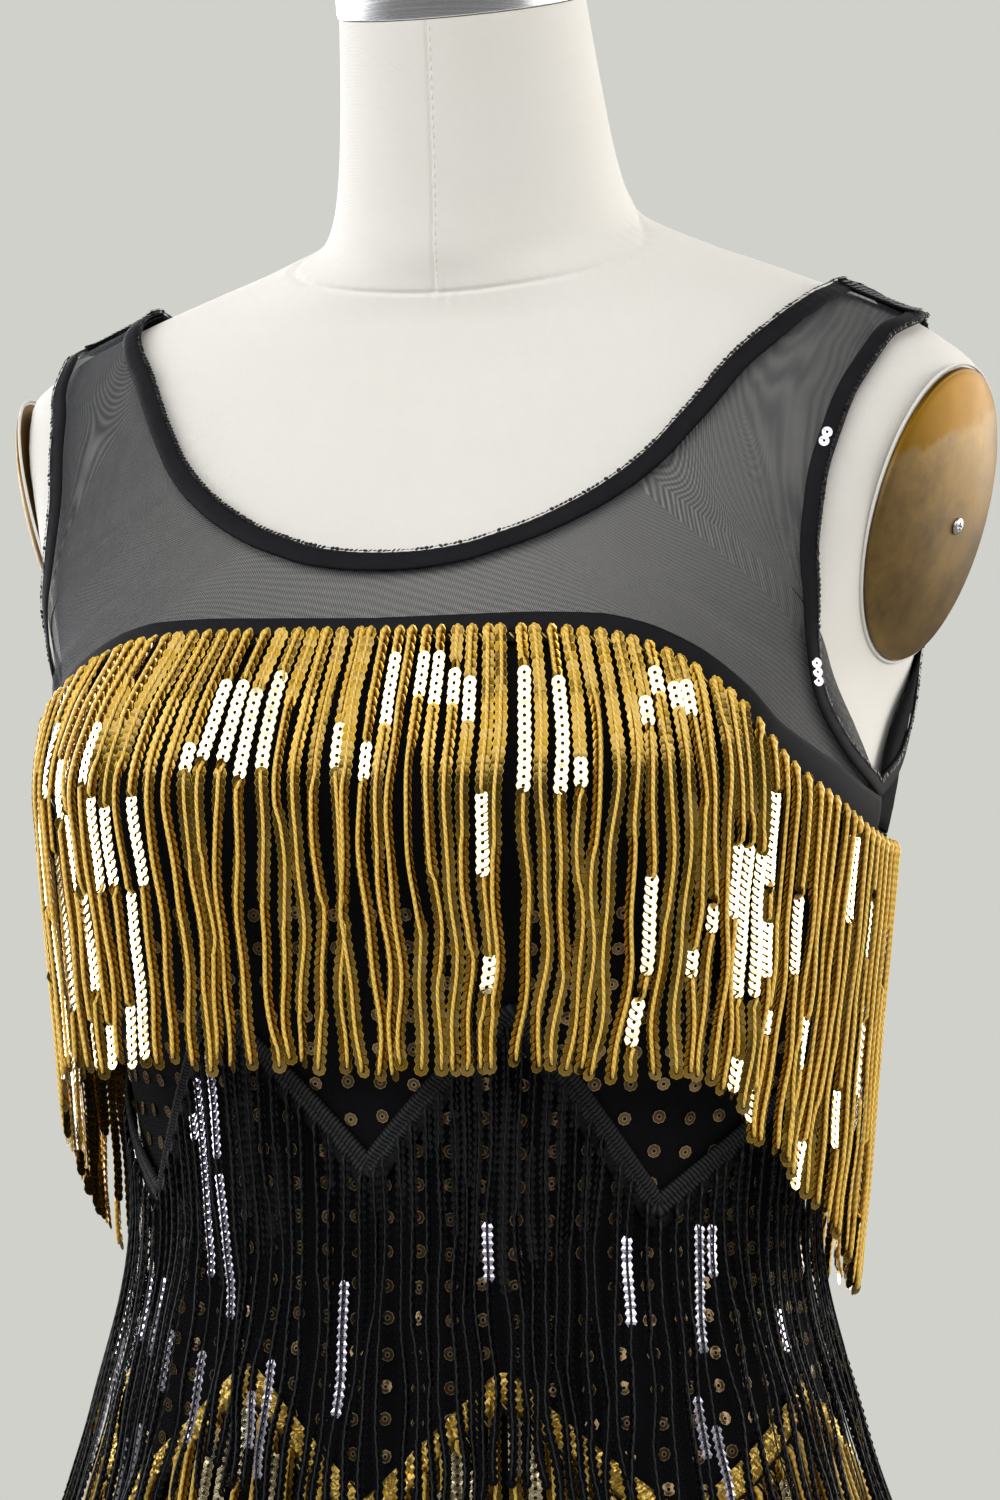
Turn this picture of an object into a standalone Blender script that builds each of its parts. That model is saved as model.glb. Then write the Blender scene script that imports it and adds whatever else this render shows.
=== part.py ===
# Flapper dress on a limbless dress form with a round base.
# Metres, +Z up. The front is -Y and the wearer's left is +X. The origin is on the floor, under the pole.
# Places on the form are a turn and a level: the turn is in degrees from the centre front towards +X, and
# the level is the height of the form's ring there. A piece of cloth is a grid of such places, moved out
# from the form.

import bpy
import numpy as np
from math import cos, radians, sin
from mathutils import Matrix, Vector

OBJECT_NAME = "flapper_dress"
SHARP_DEGREES = 50

# Stand
BASE_RADIUS = 0.215
BASE_THICKNESS = 0.014
BASE_EDGE = 0.004
BASE_CROWN = 0.002
BOSS_RADIUS = 0.028
BOSS_HEIGHT = 0.050
BOSS_EDGE = 0.003
BOSS_FILLET = 0.012
POLE_RADIUS = 0.015
SEAT_GAP = 0.0003

# Form
FORM_BOTTOM = 0.745
NECK_TOP = 1.505
FORM_INSET = 0.0010
FORM_COLUMNS = 40
CAP_RADIUS = 0.0478
CAP_HEIGHT = 0.030
CAP_CROWN = 0.004
CAP_EDGE = 0.004

# Each row is one ring of the form, an ellipse-like loop that leans forward by its tilt.
# level, half_width, front_depth, back_depth, middle_y, tilt_degrees, squareness
FORM_RINGS = (
    (0.830, 0.1700, 0.112, 0.128, 0.002, 0, 2.30),
    (0.900, 0.1540, 0.110, 0.116, 0.000, 0, 2.25),
    (0.970, 0.1350, 0.102, 0.100, -0.002, 0, 2.20),
    (1.034, 0.1245, 0.096, 0.091, -0.004, 0, 2.15),
    (1.090, 0.1320, 0.103, 0.094, -0.003, 0, 2.10),
    (1.150, 0.1490, 0.113, 0.100, -0.001, 0, 2.10),
    (1.205, 0.1610, 0.120, 0.106, 0.000, 0, 2.20),
    (1.235, 0.1680, 0.115, 0.107, 0.001, 1, 2.25),
    (1.260, 0.1730, 0.106, 0.106, 0.003, 2, 2.30),
    (1.285, 0.1840, 0.096, 0.102, 0.005, 3, 2.40),
    (1.312, 0.1950, 0.085, 0.096, 0.008, 4, 2.45),
    (1.338, 0.2010, 0.075, 0.088, 0.010, 5, 2.45),
    (1.360, 0.1960, 0.067, 0.080, 0.012, 6, 2.35),
    (1.377, 0.1770, 0.062, 0.073, 0.013, 8, 2.20),
    (1.391, 0.1480, 0.059, 0.068, 0.013, 10, 2.10),
    (1.403, 0.1150, 0.057, 0.064, 0.011, 13, 2.05),
    (1.413, 0.0850, 0.056, 0.061, 0.008, 15, 2.00),
    (1.423, 0.0625, 0.055, 0.057, 0.004, 17, 2.00),
    (1.440, 0.0560, 0.053, 0.053, 0.000, 17, 2.00),
    (1.470, 0.0515, 0.051, 0.051, -0.007, 16, 2.00),
    (1.505, 0.0480, 0.049, 0.049, -0.016, 15, 2.00),
)
# The form's own foot, and the skirt that hangs past it, with the same columns.
FORM_FOOT = ((0.745, 0.1630, 0.106, 0.122, 0.003, 0, 2.30),)
SKIRT_RINGS = (
    (0.560, 0.1860, 0.138, 0.146, 0.002, 0, 2.10),
    (0.660, 0.1800, 0.128, 0.140, 0.002, 0, 2.15),
    (0.745, 0.1755, 0.119, 0.134, 0.002, 0, 2.25),
)
FORM_LEVELS = (
    0.745, 0.830, 0.900, 0.940, 0.970, 1.000, 1.034, 1.062, 1.090, 1.120, 1.150, 1.170, 1.187, 1.205,
    1.219, 1.231, 1.242, 1.252, 1.264, 1.285, 1.312, 1.338, 1.360, 1.377, 1.391, 1.403, 1.413, 1.423,
    1.440, 1.470, 1.505,
)

# Bust: a soft rise on each side of the centre front.
BUST_LEVEL = 1.200
BUST_TURN = 36
BUST_SPREAD_TURN = 20
BUST_SPREAD_LEVEL = 0.055
BUST_RISE = 0.020

# Flat at each arm, where the form is cut off and closed by a brass plate.
ARM_POINT = (0.179, 0.008, 1.308)
ARM_DOWN_DEGREES = 16
ARM_FORWARD_DEGREES = 9
ARM_ROUNDING = 0.004
ARM_FADE_LEVELS = (1.195, 1.252)
PLATE_HALF_HEIGHT = 0.056
PLATE_HALF_WIDTH = 0.045
PLATE_THICKNESS = 0.002
PLATE_RIM = 0.0006
PLATE_DOME = 0.008
PLATE_SWELL = 2.6
SCREW_RADIUS = 0.0033
SCREW_HEIGHT = 0.0012
SCREW_BACK = 0.005
SCREW_DOWN = 0.002

# Cloth, measured out from the form
CLOTH_OUT = 0.0013
MESH_WALL = 0.0010
KNIT_WALL = 0.0012
NECK_BINDING_OUT = 0.0037
ARM_BINDING_OUT = 0.0047
BRAID_OUT = 0.0045
BAND_OUT = 0.0050
TRIM_WALL = 0.0012
BRAID_WALL = 0.0018
TAPE_OUT = 0.0074
SEAM_GAP = 0.0003
SIDE_TURN = 88
SIDE_REACH = 0.150
SHOULDER_TURN = 90
SHOULDER_REACH = 0.155
SEAM_RISE = 0.004
BAND_SEAM_GAP = 0.0008
HEM_LEVEL = 0.560

# Lower edge of the bust band, from the centre front round to the centre back: turn, level
BAND_LINE = (
    (0, 1.2635), (28, 1.2635), (40, 1.2615), (46, 1.2570), (52, 1.2475), (58, 1.2320),
    (64, 1.2155), (74, 1.2005), (84, 1.1900), (92, 1.1862), (104, 1.1850), (180, 1.1850),
)
BAND_WIDTH = 0.009

# Spokes of a yoke run from the neckline to its outer edge, which follows the band and then the armhole.
# The spokes to the band also give the panels their columns. Half of each yoke is listed.
# neck_turn, neck_level, band_turn
FRONT_BAND_SPOKES = (
    (0.0, 1.2960, 0.0),
    (6.5, 1.2963, 9.0),
    (13.0, 1.2974, 18.0),
    (19.0, 1.2993, 27.0),
    (25.0, 1.3027, 36.0),
    (30.0, 1.3059, 44.0),
    (34.5, 1.3096, 52.0),
    (38.5, 1.3136, 60.0),
    (42.0, 1.3175, 69.0),
    (45.0, 1.3215, 78.0),
    (48.0, 1.3260, 88.0),
)
BACK_BAND_SPOKES = (
    (136.0, 1.3440, 88.0),
    (141.0, 1.3400, 99.0),
    (146.0, 1.3370, 110.0),
    (151.0, 1.3347, 121.0),
    (156.5, 1.3328, 132.0),
    (162.0, 1.3315, 144.0),
    (168.0, 1.3306, 156.0),
    (174.0, 1.3302, 168.0),
    (180.0, 1.3300, 180.0),
)
# neck_turn, neck_level, arm_turn, arm_level
FRONT_ARM_SPOKES = (
    (50.0, 1.3295, 88.0, 1.2070),
    (53.0, 1.3357, 79.5, 1.2190),
    (56.5, 1.3445, 73.0, 1.2400),
    (60.0, 1.3537, 69.0, 1.2660),
    (63.0, 1.3625, 67.8, 1.2930),
    (66.5, 1.3715, 69.0, 1.3180),
    (71.0, 1.3805, 72.0, 1.3430),
    (76.5, 1.3880, 77.0, 1.3650),
    (83.0, 1.3928, 83.0, 1.3765),
    (90.0, 1.3945, 90.0, 1.3800),
)
BACK_ARM_SPOKES = (
    (90.0, 1.3945, 90.0, 1.3800),
    (96.0, 1.3915, 97.0, 1.3800),
    (101.0, 1.3870, 103.5, 1.3735),
    (105.0, 1.3822, 108.5, 1.3560),
    (108.5, 1.3775, 111.5, 1.3300),
    (112.0, 1.3727, 111.5, 1.3000),
    (116.0, 1.3668, 108.8, 1.2670),
    (120.0, 1.3615, 105.0, 1.2400),
    (124.5, 1.3560, 98.5, 1.2195),
    (130.0, 1.3500, 88.0, 1.2070),
)
YOKE_CELLS = 7

# Levels of the knit panels below the bust, and how the rows above are shared up to the band.
PANEL_LEVELS = (
    0.560, 0.610, 0.660, 0.710, 0.755, 0.795, 0.830, 0.870,
    0.905, 0.940, 0.970, 1.000, 1.034, 1.062, 1.090, 1.120,
)
PANEL_TOP_SHARES = (0.0, 0.18, 0.35, 0.51, 0.67, 0.83, 1.0)
PANEL_TOP_LEVEL = 1.140
FLUTES = 8
FLUTE_DEPTH = 0.012
FLUTE_TOP = 0.790
FLUTE_SWELL = 1.4
# The waves drift round the body, so that they aren't all of one width: waves_round, start, amount
FLUTE_DRIFTS = ((1, 0.4, 0.9), (3, 0.0, 0.6))

# Bindings and tapes
NECK_BINDING_WIDTH = 0.008
ARM_BINDING_WIDTH = 0.007
BINDING_EDGE = 0.0004
TAPE_WIDTH = 0.008
TAPE_SHARES = (0.05, 0.95)

# Zigzag braids, from the centre front to the centre back: turn, level
UPPER_ZIGZAG = (
    (0, 1.0660), (29, 1.1250), (56, 1.0520), (86, 1.1050), (118, 1.0500), (149, 1.1150), (180, 1.0560),
)
LOWER_ZIGZAG = (
    (0, 0.9380), (28, 0.9880), (56, 0.9350), (84, 0.9800), (116, 0.9330), (148, 0.9820), (180, 0.9360),
)
BRAID_FOOT = 0.0055
BRAID_STEPS = 4

# Fringes. A root strip carries the strands, which hang from it, rest on the cloth where it widens and lean
# in below the bust. The lift is how far a strand has moved out from the cloth at its lower end. The strands
# are shared out between the corners of the root line.
STRIP_OUT = 0.0060
STRIP_DROP = 0.0010
STRIP_HEIGHT = 0.0040
STRIP_DEPTH = 0.0022
LEAN = 0.09
HANG_STEPS = 25
HEM_ROOT = ((0, 0.7880), (180, 0.7880))
# name, root_line, corner_turns, below_line, strands_between_corners, width, length, lift, sections, finish
FRINGES = (
    ("gold_fringe_upper", BAND_LINE, (0, 180), 0.0, 26, 0.0072, 0.158, 0.015, (0, 0.30, 0.62, 1), "gold"),
    ("black_fringe_upper", UPPER_ZIGZAG, (), BRAID_FOOT, 3, 0.0082, 0.160, 0.010, (0, 0.33, 0.66, 1), "jet"),
    ("gold_fringe_lower", LOWER_ZIGZAG, (), BRAID_FOOT, 3, 0.0085, 0.150, 0.007, (0, 0.5, 1), "gold"),
    ("black_fringe_lower", HEM_ROOT, (0, 180), 0.0, 19, 0.0095, 0.248, 0.007, (0, 0.3, 0.65, 1), "jet"),
)

# Finishes: base colour, roughness, metallic
FINISHES = {
    "canvas": ((0.82, 0.79, 0.73, 1), 0.85, 0.0),
    "chrome": ((0.72, 0.73, 0.75, 1), 0.22, 1.0),
    "brass": ((0.42, 0.33, 0.16, 1), 0.38, 1.0),
    "steel": ((0.60, 0.60, 0.60, 1), 0.30, 1.0),
    "stand": ((0.70, 0.69, 0.67, 1), 0.40, 0.0),
    "mesh": ((0.045, 0.045, 0.048, 1), 0.80, 0.0),
    "knit": ((0.012, 0.012, 0.014, 1), 0.85, 0.0),
    "trim": ((0.018, 0.018, 0.020, 1), 0.60, 0.0),
    "gold": ((0.72, 0.50, 0.14, 1), 0.22, 0.9),
    "jet": ((0.020, 0.020, 0.024, 1), 0.18, 0.2),
}


# Scene, materials and objects


def clear_scene():
    for old in list(bpy.data.objects):
        bpy.data.objects.remove(old, do_unlink=True)


def new_collection(name):
    collection = bpy.data.collections.new(name)
    bpy.context.scene.collection.children.link(collection)
    return collection


def finish_material(object_name, finish):
    colour, roughness, metallic = FINISHES[finish]
    material = bpy.data.materials.new(object_name + "_finish")
    material.use_nodes = True
    shader = material.node_tree.nodes["Principled BSDF"]
    shader.inputs["Base Color"].default_value = colour
    shader.inputs["Roughness"].default_value = roughness
    shader.inputs["Metallic"].default_value = metallic
    material.diffuse_color = colour
    return material


def add_mesh_object(name, points, faces, finish, collection):
    mesh = bpy.data.meshes.new(name)
    mesh.from_pydata([tuple(point) for point in points], [], faces)
    mesh.update()
    mesh.shade_smooth()
    mesh.set_sharp_from_angle(angle=radians(SHARP_DEGREES))
    piece = bpy.data.objects.new(name, mesh)
    piece.data.materials.append(finish_material(name, finish))
    collection.objects.link(piece)
    return piece


def take_primitive(name, finish, collection):
    """Names the primitive that was just added and moves it to the parts collection."""
    piece = bpy.context.active_object
    for owner in list(piece.users_collection):
        owner.objects.unlink(piece)
    collection.objects.link(piece)
    piece.name = name
    piece.data.name = name
    piece.data.materials.append(finish_material(name, finish))
    return piece


def add_bevel(piece, width, segments):
    bevel = piece.modifiers.new("rounded_edges", "BEVEL")
    bevel.width = width
    bevel.segments = segments
    bevel.limit_method = "ANGLE"
    return bevel


def add_turned(name, profile, steps, finish, collection):
    """Turns a profile of (radius, height) pairs, listed from the top down its outer side, about +Z."""
    points = [(radius, 0, height) for radius, height in profile]
    mesh = bpy.data.meshes.new(name)
    mesh.from_pydata(points, [(i, i + 1) for i in range(len(points) - 1)], [])
    piece = bpy.data.objects.new(name, mesh)
    piece.data.materials.append(finish_material(name, finish))
    collection.objects.link(piece)
    screw = piece.modifiers.new("turned", "SCREW")
    screw.steps = steps
    screw.render_steps = steps
    screw.use_merge_vertices = True
    screw.merge_threshold = 0.0001
    return piece


# Shape of the form and of the cloth on it

# Steps over which the surface's slopes are measured, in radians and in metres
TURN_STEP = 0.001
LEVEL_STEP = 0.0005


def smooth_read(xs, ys, x):
    """Reads the columns of ys at x, on cubic curves through the rows that never overshoot them."""
    steps = np.diff(xs)
    slopes = np.diff(ys, axis=0) / steps[:, None]
    tangents = np.zeros_like(ys)
    for row in range(1, len(xs) - 1):
        before, after = slopes[row - 1], slopes[row]
        weight_a = 2 * steps[row] + steps[row - 1]
        weight_b = steps[row] + 2 * steps[row - 1]
        same_way = before * after > 0
        safe_before = np.where(same_way, before, 1.0)
        safe_after = np.where(same_way, after, 1.0)
        mean = (weight_a + weight_b) / (weight_a / safe_before + weight_b / safe_after)
        tangents[row] = np.where(same_way, mean, 0.0)
    tangents[0] = slopes[0]
    tangents[-1] = slopes[-1]
    x = np.clip(x, xs[0], xs[-1])
    row = np.clip(np.searchsorted(xs, x, side="right") - 1, 0, len(xs) - 2)
    t = ((x - xs[row]) / steps[row])[..., None]
    step = steps[row][..., None]
    start = (1 + 2 * t) * (1 - t) ** 2 * ys[row] + t * (1 - t) ** 2 * step * tangents[row]
    end = t * t * (3 - 2 * t) * ys[row + 1] + t * t * (t - 1) * step * tangents[row + 1]
    return start + end


def read_line(line, turn):
    """Reads the level of a left-right symmetric line at any turn in degrees."""
    table = np.array(line, float)
    folded = np.abs((np.asarray(turn, float) + 180) % 360 - 180)
    return np.interp(folded, table[:, 0], table[:, 1])


def read_smooth_line(line, turn):
    table = np.array(line, float)
    folded = np.abs((np.asarray(turn, float) + 180) % 360 - 180)
    return smooth_read(table[:, 0], table[:, 1:], folded)[..., 0]


def flutes(turn, level):
    """Soft waves of the skirt, none at the hips and deepest at the hem."""
    share = np.clip((FLUTE_TOP - level) / (FLUTE_TOP - HEM_LEVEL), 0, 1)
    drift = sum(amount * np.sin(count * turn + start) for count, start, amount in FLUTE_DRIFTS)
    return FLUTE_DEPTH * share**FLUTE_SWELL * (0.5 + 0.5 * np.cos(FLUTES * turn + drift))


def arm_axes():
    """Outward, upward and forward unit directions of the flat at the left arm."""
    down, forward = radians(ARM_DOWN_DEGREES), radians(ARM_FORWARD_DEGREES)
    out = Vector((cos(down) * cos(forward), -cos(down) * sin(forward), -sin(down)))
    up = Vector((sin(down) * cos(forward), -sin(down) * sin(forward), cos(down)))
    return out, up, out.cross(up)


def ring_point(turn, level, rings, skirt):
    """Points of the bare form: a squared ellipse with a bust, cut flat at the arms. Turns are in radians."""
    table = np.array(rings, float)
    columns = smooth_read(table[:, 0], table[:, 1:], level)
    half_width, front, back, middle_y, tilt, squareness = np.moveaxis(columns, -1, 0)
    along, across = np.cos(turn), np.sin(turn)
    depth = np.where(along > 0, front, back)
    side_part = (np.abs(across) / half_width) ** squareness
    depth_part = (np.abs(along) / depth) ** squareness
    radius = (side_part + depth_part) ** (-1 / squareness)
    from_bust = (np.abs(np.degrees(np.arctan2(across, along))) - BUST_TURN) / BUST_SPREAD_TURN
    level_from_bust = (level - BUST_LEVEL) / BUST_SPREAD_LEVEL
    radius = radius + BUST_RISE * np.exp(-(from_bust**2) / 2 - level_from_bust**2 / 2)
    if skirt:
        radius = radius + flutes(turn, level)
    x = radius * across
    y = middle_y - radius * along * np.cos(np.radians(tilt))
    z = level - radius * along * np.sin(np.radians(tilt))
    side = np.where(x < 0, -1.0, 1.0)
    out, _, _ = arm_axes()
    past = (x * side - ARM_POINT[0]) * out.x + (y - ARM_POINT[1]) * out.y + (z - ARM_POINT[2]) * out.z
    share = np.clip((level - ARM_FADE_LEVELS[0]) / (ARM_FADE_LEVELS[1] - ARM_FADE_LEVELS[0]), 0, 1)
    cut = share * share * (3 - 2 * share) * ARM_ROUNDING * np.logaddexp(0, past / ARM_ROUNDING)
    return np.stack([x - cut * out.x * side, y - cut * out.y, z - cut * out.z], axis=-1)


def surface_point(turn_degrees, level, out, skirt=True):
    """Points that lie a distance out from the form, or from the skirt below it, along the normal."""
    turn_degrees, level, out = np.broadcast_arrays(turn_degrees, level, out)
    turn = np.radians(turn_degrees)
    rings = (SKIRT_RINGS if skirt else FORM_FOOT) + FORM_RINGS
    low, high = rings[0][0], rings[-1][0]
    points = ring_point(turn, level, rings, skirt)
    ahead = ring_point(turn + TURN_STEP, level, rings, skirt)
    behind = ring_point(turn - TURN_STEP, level, rings, skirt)
    above = ring_point(turn, np.minimum(level + LEVEL_STEP, high), rings, skirt)
    below = ring_point(turn, np.maximum(level - LEVEL_STEP, low), rings, skirt)
    normal = np.cross(ahead - behind, above - below)
    normal /= np.linalg.norm(normal, axis=-1, keepdims=True)
    return points + normal * out[..., None]


def cell_means(grid):
    return (grid[:-1, :-1] + grid[1:, :-1] + grid[:-1, 1:] + grid[1:, 1:]) / 4


def cloth_grid(turn, level, out, closed=False):
    """Grid points at a distance out from the form, moved out where a flat cell would dip towards it."""
    turn, level = np.broadcast_arrays(turn, level)
    around = 360 * np.round((turn[-1:] - turn[:1]) / 360)
    wrapped_turn = np.concatenate([turn, turn[:1] + around]) if closed else turn
    wrapped_level = np.concatenate([level, level[:1]]) if closed else level
    flat = cell_means(surface_point(wrapped_turn, wrapped_level, out))
    on_surface = surface_point(cell_means(wrapped_turn), cell_means(wrapped_level), out)
    further = surface_point(cell_means(wrapped_turn), cell_means(wrapped_level), out + LEVEL_STEP)
    outward = (further - on_surface) / LEVEL_STEP
    dip = np.maximum(((on_surface - flat) * outward).sum(axis=-1), 0)
    push = np.zeros(wrapped_turn.shape)
    for i in (slice(None, -1), slice(1, None)):
        for j in (slice(None, -1), slice(1, None)):
            push[i, j] = np.maximum(push[i, j], dip)
    if closed:
        push[0] = np.maximum(push[0], push[-1])
        push = push[:-1]
    return surface_point(turn, level, out + push)


# Builders


def grid_faces(columns, rows, closed):
    """Quads of a grid whose first index runs round the body and whose second runs up."""
    faces = []
    for i in range(columns if closed else columns - 1):
        after = (i + 1) % columns
        for j in range(rows - 1):
            faces.append((i * rows + j, after * rows + j, after * rows + j + 1, i * rows + j + 1))
    return faces


def add_cloth(name, grid, thickness, finish, collection, closed=False):
    """A wall of cloth: the grid is its inner side, and Solidify thickens it outwards."""
    columns, rows = grid.shape[:2]
    faces = grid_faces(columns, rows, closed)
    piece = add_mesh_object(name, grid.reshape(-1, 3), faces, finish, collection)
    wall = piece.modifiers.new("wall", "SOLIDIFY")
    wall.thickness = thickness
    wall.offset = 1
    return piece


def add_strip(name, low_edge, high_edge, out, thickness, finish, collection, closed):
    """A flat trim between two edges on the surface, each a list of turn and level."""
    low_edge, high_edge = np.array(low_edge, float), np.array(high_edge, float)
    turn = np.stack([low_edge[:, 0], high_edge[:, 0]], axis=1)
    level = np.stack([low_edge[:, 1], high_edge[:, 1]], axis=1)
    return add_cloth(name, cloth_grid(turn, level, out, closed), thickness, finish, collection, closed)


def step_aside(path, distance, closed):
    """Moves a path of turns and levels sideways over the surface, to its left as seen from outside."""
    path = np.array(path, float)
    if closed:
        ahead, behind = np.roll(path, -1, axis=0), np.roll(path, 1, axis=0)
        turn_along = (ahead[:, 0] - behind[:, 0] + 180) % 360 - 180
        along = np.stack([turn_along, ahead[:, 1] - behind[:, 1]], axis=1)
    else:
        along = np.gradient(path, axis=0)
    here = surface_point(path[:, 0], path[:, 1], 0.0)
    turn_step = np.degrees(TURN_STEP)
    by_turn = (surface_point(path[:, 0] + turn_step, path[:, 1], 0.0) - here) / turn_step
    by_level = (surface_point(path[:, 0], path[:, 1] + LEVEL_STEP, 0.0) - here) / LEVEL_STEP
    tangent = by_turn * along[:, :1] + by_level * along[:, 1:]
    normal = np.cross(by_turn, by_level)
    side = np.cross(normal, tangent)
    side *= distance / np.linalg.norm(side, axis=1, keepdims=True)
    turn_turn = (by_turn * by_turn).sum(axis=1)
    turn_level = (by_turn * by_level).sum(axis=1)
    level_level = (by_level * by_level).sum(axis=1)
    side_turn = (side * by_turn).sum(axis=1)
    side_level = (side * by_level).sum(axis=1)
    scale = turn_turn * level_level - turn_level**2
    turn_move = (side_turn * level_level - side_level * turn_level) / scale
    level_move = (side_level * turn_turn - side_turn * turn_level) / scale
    return path + np.stack([turn_move, level_move], axis=1)


def hang(turns, root_levels, length, out, lift):
    """Paths of strands: a strand rests on the cloth, or hangs from above with a small lean inwards."""
    shares = np.linspace(0, 1, HANG_STEPS)
    levels = root_levels[:, None] - length * shares
    rest = surface_point(turns[:, None], levels, out + lift * shares)
    reach = np.hypot(rest[..., 0], rest[..., 1])
    heading = rest[..., :2] / reach[..., None]
    drop = length / (HANG_STEPS - 1)
    for step in range(1, HANG_STEPS):
        reach[:, step] = np.maximum(reach[:, step], reach[:, step - 1] - LEAN * drop)
    return shares, levels, reach, heading


def clear_sections(shares, reach, sections):
    """Reach of each section, pushed out until the straight runs between sections clear the hanging path."""
    chosen = np.array([np.interp(sections, shares, row) for row in reach])
    shortfall = np.zeros_like(chosen)
    for k in range(len(sections) - 1):
        inside = (shares >= sections[k]) & (shares <= sections[k + 1])
        t = (shares[inside] - sections[k]) / (sections[k + 1] - sections[k])
        chord = chosen[:, k, None] * (1 - t) + chosen[:, k + 1, None] * t
        missing = np.maximum(reach[:, inside] - chord, 0).max(axis=1)
        shortfall[:, k] = np.maximum(shortfall[:, k], missing)
        shortfall[:, k + 1] = np.maximum(shortfall[:, k + 1], missing)
    shortfall[:, 0] = 0
    return chosen + shortfall


# Sub-parts


def build_base(collection):
    profile = [
        (0.0, BASE_THICKNESS + BOSS_HEIGHT),
        (BOSS_RADIUS - BOSS_EDGE, BASE_THICKNESS + BOSS_HEIGHT),
        (BOSS_RADIUS, BASE_THICKNESS + BOSS_HEIGHT - BOSS_EDGE),
        (BOSS_RADIUS, BASE_THICKNESS + BOSS_FILLET),
        (BOSS_RADIUS + BOSS_FILLET * 0.3, BASE_THICKNESS + BOSS_FILLET * 0.3),
        (BOSS_RADIUS + BOSS_FILLET, BASE_THICKNESS),
        (BASE_RADIUS - BASE_EDGE, BASE_THICKNESS - BASE_CROWN),
        (BASE_RADIUS, BASE_THICKNESS - BASE_CROWN - BASE_EDGE),
        (BASE_RADIUS, 0.0),
        (0.0, 0.0),
    ]
    return add_turned("base_disc", profile, 40, "stand", collection)


def build_pole(collection):
    low = BASE_THICKNESS + BOSS_HEIGHT + SEAT_GAP
    high = FORM_BOTTOM - SEAT_GAP
    bpy.ops.mesh.primitive_cylinder_add(
        vertices=24, radius=POLE_RADIUS, depth=high - low, location=(0, 0, (low + high) / 2)
    )
    return take_primitive("pole", "stand", collection)


def build_torso(collection):
    levels = np.array(FORM_LEVELS)
    turns = np.arange(FORM_COLUMNS) * 360 / FORM_COLUMNS
    grid = surface_point(turns[:, None], levels[None, :], -FORM_INSET, skirt=False)
    count = len(levels)
    faces = grid_faces(FORM_COLUMNS, count, True)
    faces.append([i * count for i in reversed(range(FORM_COLUMNS))])
    faces.append([i * count + count - 1 for i in range(FORM_COLUMNS)])
    grid[:, 0, 2] = FORM_BOTTOM
    return add_mesh_object("form_torso", grid.reshape(-1, 3), faces, "canvas", collection)


def build_neck_cap(collection):
    profile = [
        (0.0, CAP_HEIGHT),
        (CAP_RADIUS * 0.55, CAP_HEIGHT - CAP_CROWN * 0.25),
        (CAP_RADIUS - CAP_EDGE, CAP_HEIGHT - CAP_CROWN),
        (CAP_RADIUS - CAP_EDGE * 0.3, CAP_HEIGHT - CAP_CROWN - CAP_EDGE * 0.3),
        (CAP_RADIUS, CAP_HEIGHT - CAP_CROWN - CAP_EDGE),
        (CAP_RADIUS, 0.0),
        (0.0, 0.0),
    ]
    cap = add_turned("neck_cap", profile, 32, "chrome", collection)
    top_row = FORM_RINGS[-1]
    tilt = radians(top_row[5])
    normal = Vector((0, -sin(tilt), cos(tilt)))
    cap.location = Vector((0, top_row[4], NECK_TOP)) + normal * SEAT_GAP
    cap.rotation_euler = (tilt, 0, 0)
    return cap


def arm_matrix(side, forward_shift, up_shift, out_shift):
    """Places a disc on the flat at one arm: its own X is forward, Y is up and Z is out."""
    out, up, forward = arm_axes()
    place = Vector(ARM_POINT) + out * out_shift + up * up_shift + forward * forward_shift
    mirror = Vector((side, 1, 1))
    out, up, place = out * mirror, up * mirror, place * mirror
    across = up.cross(out)
    turned = Matrix((across, up, out)).transposed().to_4x4()
    turned.translation = place
    return turned


def plate_height(share):
    """Height of the domed plate over its seat, from its middle (share 0) to its rim (share 1)."""
    return PLATE_THICKNESS + PLATE_DOME * (1 - share**PLATE_SWELL)


def build_arm_plate(side_name, side, collection):
    profile = [(share, plate_height(share)) for share in (0.0, 0.3, 0.55, 0.8)]
    profile += [(1 - PLATE_RIM / PLATE_HALF_WIDTH, PLATE_THICKNESS), (1.0, PLATE_THICKNESS - PLATE_RIM), (1.0, 0.0), (0.0, 0.0)]
    plate = add_turned("arm_plate_" + side_name, profile, 28, "brass", collection)
    plate.matrix_world = arm_matrix(side, 0.0, 0.0, SEAT_GAP - FORM_INSET) @ Matrix.Diagonal(
        (PLATE_HALF_WIDTH, PLATE_HALF_HEIGHT, 1, 1)
    )
    return plate


def build_arm_screw(side_name, side, collection):
    bpy.ops.mesh.primitive_cylinder_add(vertices=12, radius=SCREW_RADIUS, depth=SCREW_HEIGHT)
    screw = take_primitive("plate_screw_" + side_name, "steel", collection)
    near_side = (SCREW_BACK - SCREW_RADIUS) / PLATE_HALF_WIDTH
    out_shift = SEAT_GAP - FORM_INSET + plate_height(near_side) + SEAT_GAP + SCREW_HEIGHT / 2
    screw.matrix_world = arm_matrix(side, -SCREW_BACK, -SCREW_DOWN, out_shift)
    return screw


def front_spokes():
    """Rows of neck_turn, neck_level, edge_turn, edge_level, from the centre front to the left shoulder."""
    return band_rows(FRONT_BAND_SPOKES) + [list(row) for row in FRONT_ARM_SPOKES]


def back_spokes():
    """The same columns, from the left shoulder to the centre back."""
    return [list(row) for row in BACK_ARM_SPOKES] + band_rows(BACK_BAND_SPOKES)


def band_rows(rows):
    """The same four columns for spokes that end on the band's seam."""
    table = np.array(rows)
    edge_level = read_smooth_line(BAND_LINE, table[:, 2]) + SEAM_RISE + BAND_SEAM_GAP
    return np.column_stack([table, edge_level]).tolist()


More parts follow.
